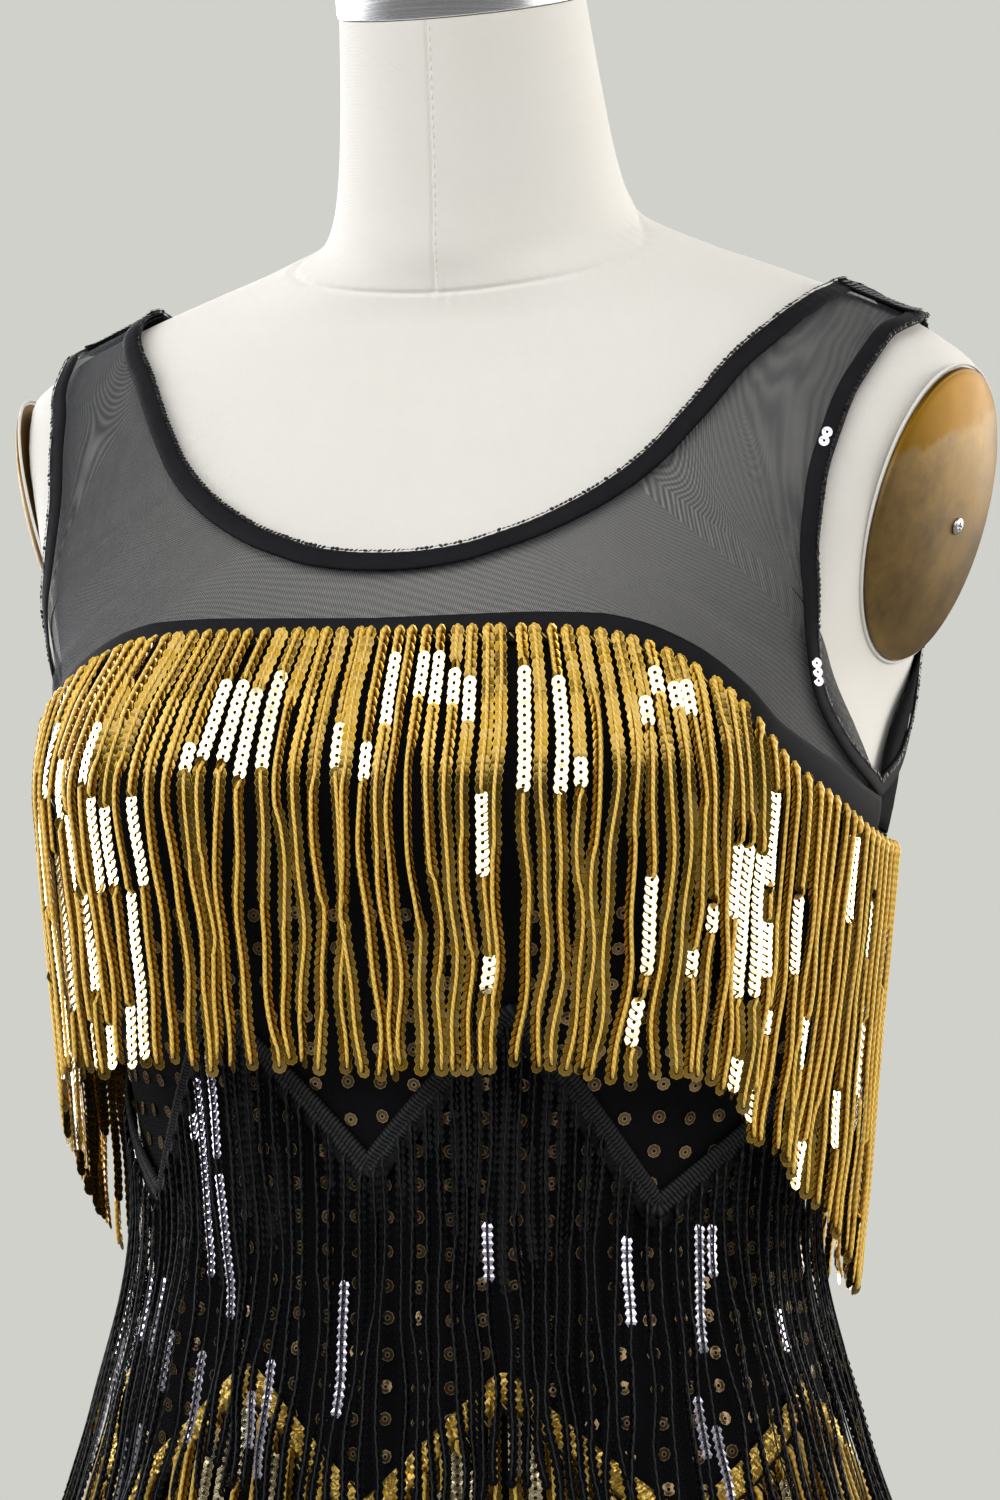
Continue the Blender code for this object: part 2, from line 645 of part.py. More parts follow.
def whole(half_rows, centre_turn, turn_columns):
    """Both halves of a piece, in the order of growing turn, from the half on the wearer's left."""
    half = np.array(half_rows, float)
    other = half[::-1].copy()
    for column in turn_columns:
        other[:, column] = 2 * centre_turn - other[:, column]
    if centre_turn == 0:
        return np.concatenate([other[:-1], half])
    return np.concatenate([half, other[1:]])


def draw_in(turn, centre_turn):
    """Draws a piece's side edges in by half a seam gap."""
    half_gap = np.degrees(SEAM_GAP / 2 / SIDE_REACH)
    from_centre = turn - centre_turn
    return centre_turn + from_centre * (1 - half_gap / np.maximum(np.abs(from_centre), SIDE_TURN / 2))


def yoke_grid(spokes, centre_turn):
    """Points of a yoke: straight spokes of turn and level from the outer edge up to the neckline."""
    share = np.linspace(0, 1, YOKE_CELLS + 1)
    turn = spokes[:, 2:3] * (1 - share) + spokes[:, 0:1] * share
    level = spokes[:, 3:4] * (1 - share) + spokes[:, 1:2] * share
    return cloth_grid(draw_in(turn, centre_turn), level, CLOTH_OUT)


def build_yokes(collection):
    front = whole(front_spokes(), 0, (0, 2))
    add_cloth("front_yoke", yoke_grid(front, 0), MESH_WALL, "mesh", collection)
    back = whole(back_spokes(), 180, (0, 2))
    add_cloth("back_yoke", yoke_grid(back, 180), KNIT_WALL, "knit", collection)


def build_panel(name, band_spokes, centre_turn, collection):
    """A knit panel from the band's seam to the hem, with its rows shared out below the sloping top."""
    turns = whole([[row[2]] for row in band_spokes], centre_turn, (0,))[:, 0]
    top = read_smooth_line(BAND_LINE, turns) + SEAM_RISE
    shares = np.array(PANEL_TOP_SHARES)
    upper = PANEL_TOP_LEVEL + (top[:, None] - PANEL_TOP_LEVEL) * shares
    lower = np.broadcast_to(np.array(PANEL_LEVELS), (len(turns), len(PANEL_LEVELS)))
    levels = np.concatenate([lower, upper], axis=1)
    grid = cloth_grid(draw_in(turns, centre_turn)[:, None], levels, CLOTH_OUT)
    return add_cloth(name, grid, KNIT_WALL, "knit", collection)


def build_bust_band(collection):
    turns = whole([[row[2]] for row in FRONT_BAND_SPOKES], 0, (0,))[:, 0]
    low = read_smooth_line(BAND_LINE, turns)
    low_edge = np.stack([turns, low], axis=1)
    high_edge = np.stack([turns, low + BAND_WIDTH], axis=1)
    return add_strip("bust_band", low_edge, high_edge, BAND_OUT, TRIM_WALL, "trim", collection, False)


def neckline_path():
    front = whole(front_spokes(), 0, (0, 2))[:, :2]
    back = whole(back_spokes(), 180, (0, 2))[:, :2]
    return np.concatenate([front, back[1:-1]])


def armhole_path():
    """The left armhole, from the underarm up the front, over the shoulder and down the back."""
    front = np.array(FRONT_ARM_SPOKES)[:, 2:]
    back = np.array(BACK_ARM_SPOKES)[:, 2:]
    return np.concatenate([front, back[1:-1]])


def build_neck_binding(collection):
    path = neckline_path()
    high_edge = step_aside(path, BINDING_EDGE, True)
    low_edge = step_aside(path, BINDING_EDGE - NECK_BINDING_WIDTH, True)
    out = NECK_BINDING_OUT
    return add_strip("neck_binding", low_edge, high_edge, out, TRIM_WALL, "trim", collection, True)


def build_arm_binding(side_name, side, collection):
    path = armhole_path()
    inner = step_aside(path, -BINDING_EDGE, True)
    outer = step_aside(path, ARM_BINDING_WIDTH - BINDING_EDGE, True)
    inner[:, 0] *= side
    outer[:, 0] *= side
    low_edge, high_edge = (inner, outer) if side > 0 else (outer, inner)
    name = "armhole_binding_" + side_name
    return add_strip(name, low_edge, high_edge, ARM_BINDING_OUT, TRIM_WALL, "trim", collection, True)


def build_shoulder_tape(side_name, side, collection):
    """A band over the shoulder seam, from the neckline to the armhole, centred on the seam."""
    shares = np.linspace(TAPE_SHARES[0], TAPE_SHARES[1], 5)
    neck, edge = FRONT_ARM_SPOKES[-1][1], FRONT_ARM_SPOKES[-1][3]
    level = edge + (neck - edge) * shares
    half_turn = np.degrees(TAPE_WIDTH / 2 / SHOULDER_REACH)
    front_edge = np.stack([np.full(5, SHOULDER_TURN - half_turn), level], axis=1)
    back_edge = np.stack([np.full(5, SHOULDER_TURN + half_turn), level], axis=1)
    front_edge[:, 0] *= side
    back_edge[:, 0] *= side
    low_edge, high_edge = (back_edge, front_edge) if side > 0 else (front_edge, back_edge)
    name = "shoulder_tape_" + side_name
    return add_strip(name, low_edge, high_edge, TAPE_OUT, TRIM_WALL, "trim", collection, False)


def zigzag_turns(line):
    corners = [row[0] for row in line]
    half = []
    for corner, following in zip(corners, corners[1:]):
        half += [corner + (following - corner) * k / BRAID_STEPS for k in range(BRAID_STEPS)]
    half.append(corners[-1])
    return np.array(half + [360 - turn for turn in reversed(half[1:-1])])


def build_braid(name, line, finish, collection):
    turns = zigzag_turns(line)
    level = read_line(line, turns)
    low_edge = np.stack([turns, level - BRAID_FOOT], axis=1)
    high_edge = np.stack([turns, level + BRAID_FOOT], axis=1)
    return add_strip(name, low_edge, high_edge, BRAID_OUT, BRAID_WALL, finish, collection, True)


def strand_turns(corners, strands_between):
    """Centres of the strands, and for each the corner that follows it before the next strand, or None."""
    centres, corner_after = [], []
    for corner, following in zip(corners, corners[1:]):
        for k in range(strands_between):
            centres.append(corner + (following - corner) * (k + 0.5) / strands_between)
            corner_after.append(following % 360 if k == strands_between - 1 else None)
    return np.array(centres), corner_after


def build_fringe(name, line, corners, below, between, width, length, lift, sections, finish, collection):
    """One closed body: a wedge-shaped strip all round, with strands of four sides below it."""
    half = list(corners or [row[0] for row in line])
    loop_corners = half + [360 - turn for turn in reversed(half[:-1])]
    centres, corner_after = strand_turns(loop_corners, between)
    strands = len(centres)
    read = read_smooth_line if line is BAND_LINE else read_line
    middle = surface_point(centres, read(line, centres), STRIP_OUT)
    half_turn = np.degrees(width / 2 / np.hypot(middle[:, 0], middle[:, 1]))
    stations = np.stack([centres - half_turn, centres + half_turn], axis=1)
    points, faces = [], []

    def add_station(turn):
        top_level = read(line, turn) - below - STRIP_DROP
        low_level = top_level - STRIP_HEIGHT
        points.append(surface_point(turn, top_level, STRIP_OUT + STRIP_DEPTH / 2))
        points.append(surface_point(turn, low_level, STRIP_OUT))
        points.append(surface_point(turn, low_level, STRIP_OUT + STRIP_DEPTH))
        return len(points) - 3

    lefts, rights, ring = [], [], []
    for i in range(strands):
        lefts.append(add_station(stations[i, 0]))
        rights.append(add_station(stations[i, 1]))
        ring += [lefts[i], rights[i]]
        if corner_after[i] is not None:
            ring.append(add_station(corner_after[i]))
    for a, b in zip(ring, ring[1:] + ring[:1]):
        faces.append((a + 2, b + 2, b, a))
        faces.append((a, b, b + 1, a + 1))
        if a not in lefts:
            faces.append((a + 1, b + 1, b + 2, a + 2))
    root_levels = (read(line, stations) - below - STRIP_DROP - STRIP_HEIGHT).mean(axis=1)
    shares, levels, reach, heading = hang(centres, root_levels, length, STRIP_OUT + STRIP_DEPTH / 2, lift)
    reach = clear_sections(shares, reach, np.array(sections))
    for i in range(strands):
        loop = [lefts[i] + 1, rights[i] + 1, rights[i] + 2, lefts[i] + 2]
        for k in range(1, len(sections)):
            ahead = np.array([np.interp(sections[k], shares, heading[i, :, axis]) for axis in range(2)])
            ahead /= np.linalg.norm(ahead)
            across = np.array([-ahead[1], ahead[0]])
            level = np.interp(sections[k], shares, levels[i])
            start = len(points)
            for depth, aside in ((-1, -1), (-1, 1), (1, 1), (1, -1)):
                place = ahead * (reach[i, k] + depth * STRIP_DEPTH / 2) + across * aside * width / 2
                points.append((place[0], place[1], level))
            following_loop = [start, start + 1, start + 2, start + 3]
            for n in range(4):
                m = (n + 1) % 4
                faces.append((loop[n], loop[m], following_loop[m], following_loop[n]))
            loop = following_loop
        faces.append(tuple(loop))
    return add_mesh_object(name, points, faces, finish, collection)


def main():
    clear_scene()
    parts = new_collection(OBJECT_NAME)
    build_base(parts)
    build_pole(parts)
    build_torso(parts)
    build_neck_cap(parts)
    for side_name, side in (("left", 1), ("right", -1)):
        build_arm_plate(side_name, side, parts)
        build_arm_screw(side_name, side, parts)
        build_arm_binding(side_name, side, parts)
        build_shoulder_tape(side_name, side, parts)
    build_yokes(parts)
    build_panel("front_panel", FRONT_BAND_SPOKES, 0, parts)
    build_panel("back_panel", BACK_BAND_SPOKES, 180, parts)
    build_bust_band(parts)
    build_neck_binding(parts)
    build_braid("zigzag_braid_upper", UPPER_ZIGZAG, "trim", parts)
    build_braid("zigzag_braid_lower", LOWER_ZIGZAG, "gold", parts)
    for fringe in FRINGES:
        build_fringe(*fringe, parts)


main()
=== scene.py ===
import math

import bpy
import numpy as np
from mathutils import Matrix, Vector


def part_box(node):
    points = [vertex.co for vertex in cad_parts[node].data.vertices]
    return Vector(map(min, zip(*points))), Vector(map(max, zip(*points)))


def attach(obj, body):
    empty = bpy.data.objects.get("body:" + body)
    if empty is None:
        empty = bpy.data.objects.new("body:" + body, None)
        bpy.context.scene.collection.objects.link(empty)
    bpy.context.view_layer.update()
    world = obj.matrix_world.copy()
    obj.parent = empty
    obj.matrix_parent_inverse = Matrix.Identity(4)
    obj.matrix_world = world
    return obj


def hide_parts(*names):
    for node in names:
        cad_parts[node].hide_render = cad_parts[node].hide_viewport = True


# Looks of a flapper dress on a dress form. Metres, +Z up, the front is -Y and the wearer's left is +X.
# A place on the form is a turn, in degrees from the centre front towards +X, and a level, the height of
# the form's ring there. The form's surface below is the same as the solids'.

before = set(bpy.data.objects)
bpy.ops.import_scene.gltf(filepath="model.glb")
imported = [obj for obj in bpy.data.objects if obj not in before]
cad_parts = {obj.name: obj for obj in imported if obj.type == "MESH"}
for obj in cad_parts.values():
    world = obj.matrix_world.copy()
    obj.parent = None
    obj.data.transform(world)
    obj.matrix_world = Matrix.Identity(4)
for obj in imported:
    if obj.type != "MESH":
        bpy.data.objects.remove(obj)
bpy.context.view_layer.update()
random = np.random.default_rng(1926)

# level, half width, front depth, back depth, middle y, tilt in degrees, squareness
formRings = np.array((
    (0.830, 0.1700, 0.112, 0.128, 0.002, 0, 2.30),
    (0.900, 0.1540, 0.110, 0.116, 0.000, 0, 2.25),
    (0.970, 0.1350, 0.102, 0.100, -0.002, 0, 2.20),
    (1.034, 0.1245, 0.096, 0.091, -0.004, 0, 2.15),
    (1.090, 0.1320, 0.103, 0.094, -0.003, 0, 2.10),
    (1.150, 0.1490, 0.113, 0.100, -0.001, 0, 2.10),
    (1.205, 0.1610, 0.120, 0.106, 0.000, 0, 2.20),
    (1.235, 0.1680, 0.115, 0.107, 0.001, 1, 2.25),
    (1.260, 0.1730, 0.106, 0.106, 0.003, 2, 2.30),
    (1.285, 0.1840, 0.096, 0.102, 0.005, 3, 2.40),
    (1.312, 0.1950, 0.085, 0.096, 0.008, 4, 2.45),
    (1.338, 0.2010, 0.075, 0.088, 0.010, 5, 2.45),
    (1.360, 0.1960, 0.067, 0.080, 0.012, 6, 2.35),
    (1.377, 0.1770, 0.062, 0.073, 0.013, 8, 2.20),
    (1.391, 0.1480, 0.059, 0.068, 0.013, 10, 2.10),
    (1.403, 0.1150, 0.057, 0.064, 0.011, 13, 2.05),
    (1.413, 0.0850, 0.056, 0.061, 0.008, 15, 2.00),
    (1.423, 0.0625, 0.055, 0.057, 0.004, 17, 2.00),
    (1.440, 0.0560, 0.053, 0.053, 0.000, 17, 2.00),
    (1.470, 0.0515, 0.051, 0.051, -0.007, 16, 2.00),
    (1.505, 0.0480, 0.049, 0.049, -0.016, 15, 2.00),
))
footRings = np.array(((0.745, 0.1630, 0.106, 0.122, 0.003, 0, 2.30),))
skirtRings = np.array((
    (0.560, 0.1860, 0.138, 0.146, 0.002, 0, 2.10),
    (0.660, 0.1800, 0.128, 0.140, 0.002, 0, 2.15),
    (0.745, 0.1755, 0.119, 0.134, 0.002, 0, 2.25),
))
bust = {"level": 1.200, "turn": 36, "spreadTurn": 20, "spreadLevel": 0.055, "rise": 0.020}
armFlat = {"point": (0.179, 0.008, 1.308), "down": 16, "forward": 9, "rounding": 0.004,
           "fadeLevels": (1.195, 1.252)}
skirtWaves = {"count": 8, "depth": 0.012, "top": 0.790, "swell": 1.4,
              "drifts": ((1, 0.4, 0.9), (3, 0.0, 0.6))}
hemLevel, neckTop = 0.560, 1.505


def unit(vectors):
    return vectors / np.maximum(np.linalg.norm(vectors, axis=-1, keepdims=True), 1e-12)


def squareTo(vectors, line):
    # unit vectors square to line, towards vectors
    return unit(vectors - line * (vectors * line).sum(axis=-1, keepdims=True))


def circle(count):
    return np.linspace(0, 2 * math.pi, count, endpoint=False)


def runLengths(points, axis=0):
    # distances along a line of points, or along each line of a grid of them
    steps = np.linalg.norm(np.diff(points, axis=axis), axis=-1)
    return np.insert(np.cumsum(steps, axis=axis), 0, 0, axis=axis)


def aheadOf(path):
    return unit(np.roll(path, -1, axis=0) - np.roll(path, 1, axis=0))


def smoothRead(xs, ys, x):
    # cubic curves through the rows of ys at xs, with slopes that never overshoot
    steps = np.diff(xs)
    slopes = np.diff(ys, axis=0) / steps[:, None]
    before, after = slopes[:-1], slopes[1:]
    weightA = (2 * steps[1:] + steps[:-1])[:, None]
    weightB = (steps[1:] + 2 * steps[:-1])[:, None]
    sameWay = before * after > 0
    shares = weightA / np.where(sameWay, before, 1) + weightB / np.where(sameWay, after, 1)
    mean = (weightA + weightB) / shares
    tangents = np.concatenate([slopes[:1], np.where(sameWay, mean, 0), slopes[-1:]])
    x = np.clip(x, xs[0], xs[-1])
    row = np.clip(np.searchsorted(xs, x, side="right") - 1, 0, len(xs) - 2)
    t = ((x - xs[row]) / steps[row])[..., None]
    step = steps[row][..., None]
    start = (1 + 2 * t) * (1 - t) ** 2 * ys[row] + t * (1 - t) ** 2 * step * tangents[row]
    return start + t * t * (3 - 2 * t) * ys[row + 1] + t * t * (t - 1) * step * tangents[row + 1]


def foldTurn(turn):
    return np.abs((np.asarray(turn, float) + 180) % 360 - 180)


def readLine(line, turn, smooth=False):
    # level of a left-right symmetric line at any turn, straight or smooth between its points
    table = np.array(line, float)
    if smooth:
        return smoothRead(table[:, 0], table[:, 1:], foldTurn(turn))[..., 0]
    return np.interp(foldTurn(turn), table[:, 0], table[:, 1])


def armAxes():
    down, forward = math.radians(armFlat["down"]), math.radians(armFlat["forward"])
    ahead, aside = math.cos(forward), math.sin(forward)
    out = np.array((math.cos(down) * ahead, -math.cos(down) * aside, -math.sin(down)))
    up = np.array((math.sin(down) * ahead, -math.sin(down) * aside, math.cos(down)))
    return out, up, np.cross(out, up)


def skirtWave(turn, level):
    share = np.clip((skirtWaves["top"] - level) / (skirtWaves["top"] - hemLevel), 0, 1)
    drift = sum(amount * np.sin(count * turn + start) for count, start, amount in skirtWaves["drifts"])
    waves = 0.5 + 0.5 * np.cos(skirtWaves["count"] * turn + drift)
    return skirtWaves["depth"] * share ** skirtWaves["swell"] * waves


def ringPoint(turn, level, skirt):
    # squared ellipse whose radius is (|sin/width|^n + |cos/depth|^n)^(-1/n), leaning by its tilt, with a
    # soft rise at each bust, waves on the skirt, and a smooth cut to the flat at each arm; turn in radians
    rings = np.concatenate([skirtRings if skirt else footRings, formRings])
    read = smoothRead(rings[:, 0], rings[:, 1:], level)
    halfWidth, front, back, middleY, tilt, squareness = np.moveaxis(read, -1, 0)
    along, across = np.cos(turn), np.sin(turn)
    depth = np.where(along > 0, front, back)
    total = (np.abs(across) / halfWidth) ** squareness + (np.abs(along) / depth) ** squareness
    radius = total ** (-1 / squareness)
    fromBust = (np.abs(np.degrees(np.arctan2(across, along))) - bust["turn"]) / bust["spreadTurn"]
    fromLevel = (level - bust["level"]) / bust["spreadLevel"]
    radius = radius + bust["rise"] * np.exp(-fromBust**2 / 2 - fromLevel ** 2 / 2)
    if skirt:
        radius = radius + skirtWave(turn, level)
    points = np.stack([
        radius * across,
        middleY - radius * along * np.cos(np.radians(tilt)),
        level - radius * along * np.sin(np.radians(tilt)),
    ], axis=-1)
    even = np.ones_like(along)
    mirror = np.stack([np.where(points[..., 0] < 0, -1.0, 1.0), even, even], axis=-1)
    out = armAxes()[0]
    past = (points * mirror - np.array(armFlat["point"])) @ out
    low, high = armFlat["fadeLevels"]
    share = np.clip((level - low) / (high - low), 0, 1)
    cut = share * share * (3 - 2 * share) * armFlat["rounding"] * np.logaddexp(0, past / armFlat["rounding"])
    return points - cut[..., None] * out * mirror


def bodyFrame(turnDegrees, level, skirt=True):
    # point on the form, its outward normal, and the directions round the form and up it
    turnDegrees, level = np.broadcast_arrays(np.asarray(turnDegrees, float), np.asarray(level, float))
    turn = np.radians(turnDegrees)
    lowest = hemLevel if skirt else footRings[0, 0]
    turnStep, levelStep = 0.001, 0.0005
    point = ringPoint(turn, level, skirt)
    around = ringPoint(turn + turnStep, level, skirt) - ringPoint(turn - turnStep, level, skirt)
    up = ringPoint(turn, np.minimum(level + levelStep, neckTop), skirt) \
        - ringPoint(turn, np.maximum(level - levelStep, lowest), skirt)
    return point, unit(np.cross(around, up)), unit(around), unit(up)


def onBody(turnDegrees, level, out, skirt=True):
    point, normal, _, _ = bodyFrame(turnDegrees, level, skirt)
    return point + normal * np.asarray(out, float)[..., None]


def addMesh(name, points, faceSets, material, slotName, node=None, uv=None, tint=None, sharp=None,
            smooth=True):
    # faceSets: arrays of vertex numbers, one row a face; uv and tint: one row or number a vertex;
    # node: the solid that the piece replaces; sharp: edges over this many degrees stay sharp
    mesh = bpy.data.meshes.new(name)
    corners = np.concatenate([np.asarray(faces).ravel() for faces in faceSets]).astype(np.int32)
    sizes = np.concatenate([np.full(len(faces), np.asarray(faces).shape[1]) for faces in faceSets])
    mesh.vertices.add(len(points))
    mesh.vertices.foreach_set("co", np.asarray(points, np.float32).ravel())
    mesh.loops.add(len(corners))
    mesh.loops.foreach_set("vertex_index", corners)
    mesh.polygons.add(len(sizes))
    mesh.polygons.foreach_set("loop_start", np.insert(np.cumsum(sizes)[:-1], 0, 0).astype(np.int32))
    if uv is not None:
        layer = mesh.uv_layers.new(name="UVMap")
        layer.data.foreach_set("uv", np.asarray(uv, np.float32)[corners].ravel())
    if tint is not None:
        mesh.attributes.new("tint", "FLOAT", "POINT").data.foreach_set("value", np.asarray(tint, np.float32))
    mesh.update(calc_edges=True)
    mesh.validate()
    mesh.polygons.foreach_set("use_smooth", np.full(len(sizes), smooth))
    if sharp:
        mesh.set_sharp_from_angle(angle=math.radians(sharp))
    piece = bpy.data.objects.new(name, mesh)
    bpy.context.scene.collection.objects.link(piece)
    mesh.materials.append(material)
    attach(piece, "root")
    if node:
        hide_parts(node)
    return piece


def gridFaces(columns, rows, closedColumns=False, closedRows=False):
    # quads of a grid whose first index runs round, anticlockwise from above, and whose second runs up
    i = np.arange(columns if closedColumns else columns - 1)[:, None]
    j = np.arange(rows if closedRows else rows - 1)[None, :]
    nextI, nextJ = (i + 1) % columns, (j + 1) % rows
    corners = [i * rows + j, nextI * rows + j, nextI * rows + nextJ, i * rows + nextJ]
    return np.stack(corners, axis=-1).reshape(-1, 4)


def tubeFaces(columns, rows):
    # a grid closed round, with a flat face at each end
    ends = np.arange(columns)[None] * rows
    return [gridFaces(columns, rows, True), ends[:, ::-1], ends + rows - 1]


def addCloth(name, grid, wall, material, slotName, node, uv=None):
    # a thin shell: the grid is its inner face and Solidify gives the wall outwards
    piece = addMesh(name, grid.reshape(-1, 3), [gridFaces(*grid.shape[:2])], material, slotName, node, uv)
    thick = piece.modifiers.new("wall", "SOLIDIFY")
    thick.thickness, thick.offset = wall, 1
    return piece


def addSwept(name, path, normals, profile, material, slotName, node=None, ripple=0):
    # a closed path with a cross-section, a loop of (aside, out) pairs, anticlockwise when seen along it;
    # ripple: extra out at each station and profile point. Aside is the normal crossed with the way ahead.
    profile = np.asarray(profile, float)
    side = unit(np.cross(normals, aheadOf(path)))
    outs = np.broadcast_to(profile[:, 1], (len(path), len(profile))) + ripple
    grid = path[:, None] + side[:, None] * profile[None, :, :1] + normals[:, None] * outs[..., None]
    stations, ring = grid.shape[:2]
    uv = np.stack(np.broadcast_arrays(np.linspace(0, 1, ring)[None, :], runLengths(path)[:, None]), axis=-1)
    faces = [gridFaces(stations, ring, True, True)]
    return addMesh(name, grid.reshape(-1, 3), faces, material, slotName, node, uv.reshape(-1, 2))


def turned(profile, steps):
    # a profile of (radius, height) pairs, from the top down its outer side, turned about +Z
    radius, height = np.asarray(profile, float)[::-1].T
    angle = circle(steps)[:, None]
    grid = np.stack(np.broadcast_arrays(radius * np.cos(angle), radius * np.sin(angle), height), axis=-1)
    return grid.reshape(-1, 3), tubeFaces(steps, len(profile))


def addSequins(name, centres, normals, ups, look, material, slotName, node=None, tint=None):
    # each is a closed, slightly domed disc: a fan of triangles on its face and one flat polygon behind
    count, sides = len(centres), look["sides"]
    ups = squareTo(ups, normals)
    asides = np.cross(ups, normals)
    angle = np.arange(sides) * 2 * math.pi / sides
    ring = centres[:, None] + look["radius"] * (
        asides[:, None] * np.cos(angle)[None, :, None] + ups[:, None] * np.sin(angle)[None, :, None])
    points = np.concatenate([centres[:, None] + normals[:, None] * look["dome"], ring], axis=1)
    start = np.arange(count)[:, None] * (sides + 1)
    k = np.arange(sides)
    fan = np.stack(np.broadcast_arrays(start, start + 1 + k, start + 1 + (k + 1) % sides), axis=-1)
    disc = np.concatenate([[[0.5, 0.5]], 0.5 + 0.5 * np.stack([np.cos(angle), np.sin(angle)], axis=-1)])
    tint = random.random(count) if tint is None else tint
    faces = [fan.reshape(-1, 3), start + 1 + k[::-1]]
    return addMesh(name, points.reshape(-1, 3), faces, material, slotName, node, np.tile(disc, (count, 1)),
                   np.repeat(tint, sides + 1), smooth=False)


def addThreads(name, paths, normals, asides, radii, sides, material, slotName):
    # tubes of a few sides along many paths at once, closed at both ends; radii is one number a station
    strands, stations = paths.shape[:2]
    angle = (np.arange(sides) + 0.5) * 2 * math.pi / sides
    ring = paths[:, :, None] + radii[:, :, None, None] * (
        normals[:, :, None] * np.cos(angle)[:, None] + asides[:, :, None] * np.sin(angle)[:, None])
    caps = np.stack([np.arange(sides), (stations - 1) * sides + np.arange(sides)[::-1]])
    shift = np.arange(strands)[:, None, None] * stations * sides
    faces = (gridFaces(stations, sides, False, True)[None] + shift).reshape(-1, 4)
    ends = (caps[None] + shift).reshape(-1, sides)
    u = np.broadcast_to((np.arange(sides) / sides)[None, None], (strands, stations, sides))
    uv = np.stack([u, np.broadcast_to(runLengths(paths, 1)[..., None], u.shape)], axis=-1)
    return addMesh(name, ring.reshape(-1, 3), [faces, ends], material, slotName, uv=uv.reshape(-1, 2))


def feed(tree, socket, value):
    # a number, a colour or another node's output goes into a socket
    if isinstance(value, bpy.types.NodeSocket):
        tree.links.new(value, socket)
    else:
        socket.default_value = (*value, 1) if socket.type == "RGBA" else value


def drive(tree, node, **values):
    # sets or links inputs by name, with _ for a blank
    for key, value in values.items():
        feed(tree, node.inputs[key.replace("_", " ")], value)
    return node


def addNode(tree, kind, *inputs, **values):
    # inputs in their order, then keywords: those with a capital are inputs, the others are settings
    node = tree.nodes.new("ShaderNode" + kind)
    for key, value in values.items():
        if key[0].islower():
            setattr(node, key, value)
    for index, value in enumerate(inputs):
        feed(tree, node.inputs[index], value)
    return drive(tree, node, **{key: value for key, value in values.items() if key[0].isupper()})


def calc(tree, operation, *values, clamp=False):
    return addNode(tree, "Math", *values, operation=operation, use_clamp=clamp).outputs[0]


def mixColour(tree, factor, first, second):
    node = addNode(tree, "Mix", factor, data_type="RGBA")
    feed(tree, node.inputs[6], first)
    feed(tree, node.inputs[7], second)
    return node.outputs[2]


def noiseAt(tree, place, **values):
    return addNode(tree, "TexNoise", place, **values).outputs[0]


def objectPlace(tree):
    return addNode(tree, "TexCoord").outputs["Object"]


def ownUv(tree):
    return addNode(tree, "UVMap", uv_map="UVMap").outputs[0]


def partsOf(tree, vector):
    return addNode(tree, "SeparateXYZ", vector).outputs


def bump(tree, height, strength, distance):
    return addNode(tree, "Bump", Strength=strength, Distance=distance, Height=height).outputs[0]


def newMaterial(name, colour, roughness, metallic=0.0, **fixed):
    material = bpy.data.materials.new(name)
    material.use_nodes = True
    tree = material.node_tree
    shader = tree.nodes["Principled BSDF"]
    drive(tree, shader, Base_Color=colour, Roughness=roughness, Metallic=metallic, **fixed)
    material.diffuse_color = (*colour, 1)
    return material, tree, shader


def newGroup(name, **inputs):
    # the kind of an input, number or colour, is that of its default
    group = bpy.data.node_groups.new(name, "ShaderNodeTree")
    for key, value in inputs.items():
        isColour = isinstance(value, tuple)
        kind = "NodeSocketColor" if isColour else "NodeSocketFloat"
        socket = group.interface.new_socket(key.replace("_", " "), in_out="INPUT", socket_type=kind)
        socket.default_value = (*value, 1) if isColour else value
    return group, group.nodes.new("NodeGroupInput").outputs


def finishGroup(group, **results):
    for key, value in results.items():
        kind = "NodeSocketColor" if value.type == "RGBA" else "NodeSocketFloat"
        group.interface.new_socket(key.replace("_", " "), in_out="OUTPUT", socket_type=kind)
    drive(group, group.nodes.new("NodeGroupOutput"), **results)
    return group


def useGroup(tree, group, **values):
    node = tree.nodes.new("ShaderNodeGroup")
    node.node_tree = group
    return drive(tree, node, **values).outputs


def makeWeaveGroup():
    # crossed threads on Object coordinates: Height rises on each thread, Blotch varies slowly
    group, given = newGroup("weave", Pitch=0.001, Blotch_Size=0.04)
    place = objectPlace(group)
    parts = partsOf(group, place)
    turns = calc(group, "DIVIDE", 2 * math.pi, given["Pitch"])
    level = calc(group, "SINE", calc(group, "MULTIPLY", parts[2], turns))
    across = calc(group, "SINE", calc(group, "MULTIPLY", calc(group, "ADD", parts[0], parts[1]), turns))
    height = calc(group, "MULTIPLY_ADD", calc(group, "MULTIPLY", level, across), 0.5, 0.5)
    scale = calc(group, "DIVIDE", 1.0, given["Blotch Size"])
    blotch = noiseAt(group, place, Scale=scale, Detail=4.0, Roughness=0.6)
    return finishGroup(group, Height=height, Blotch=blotch)


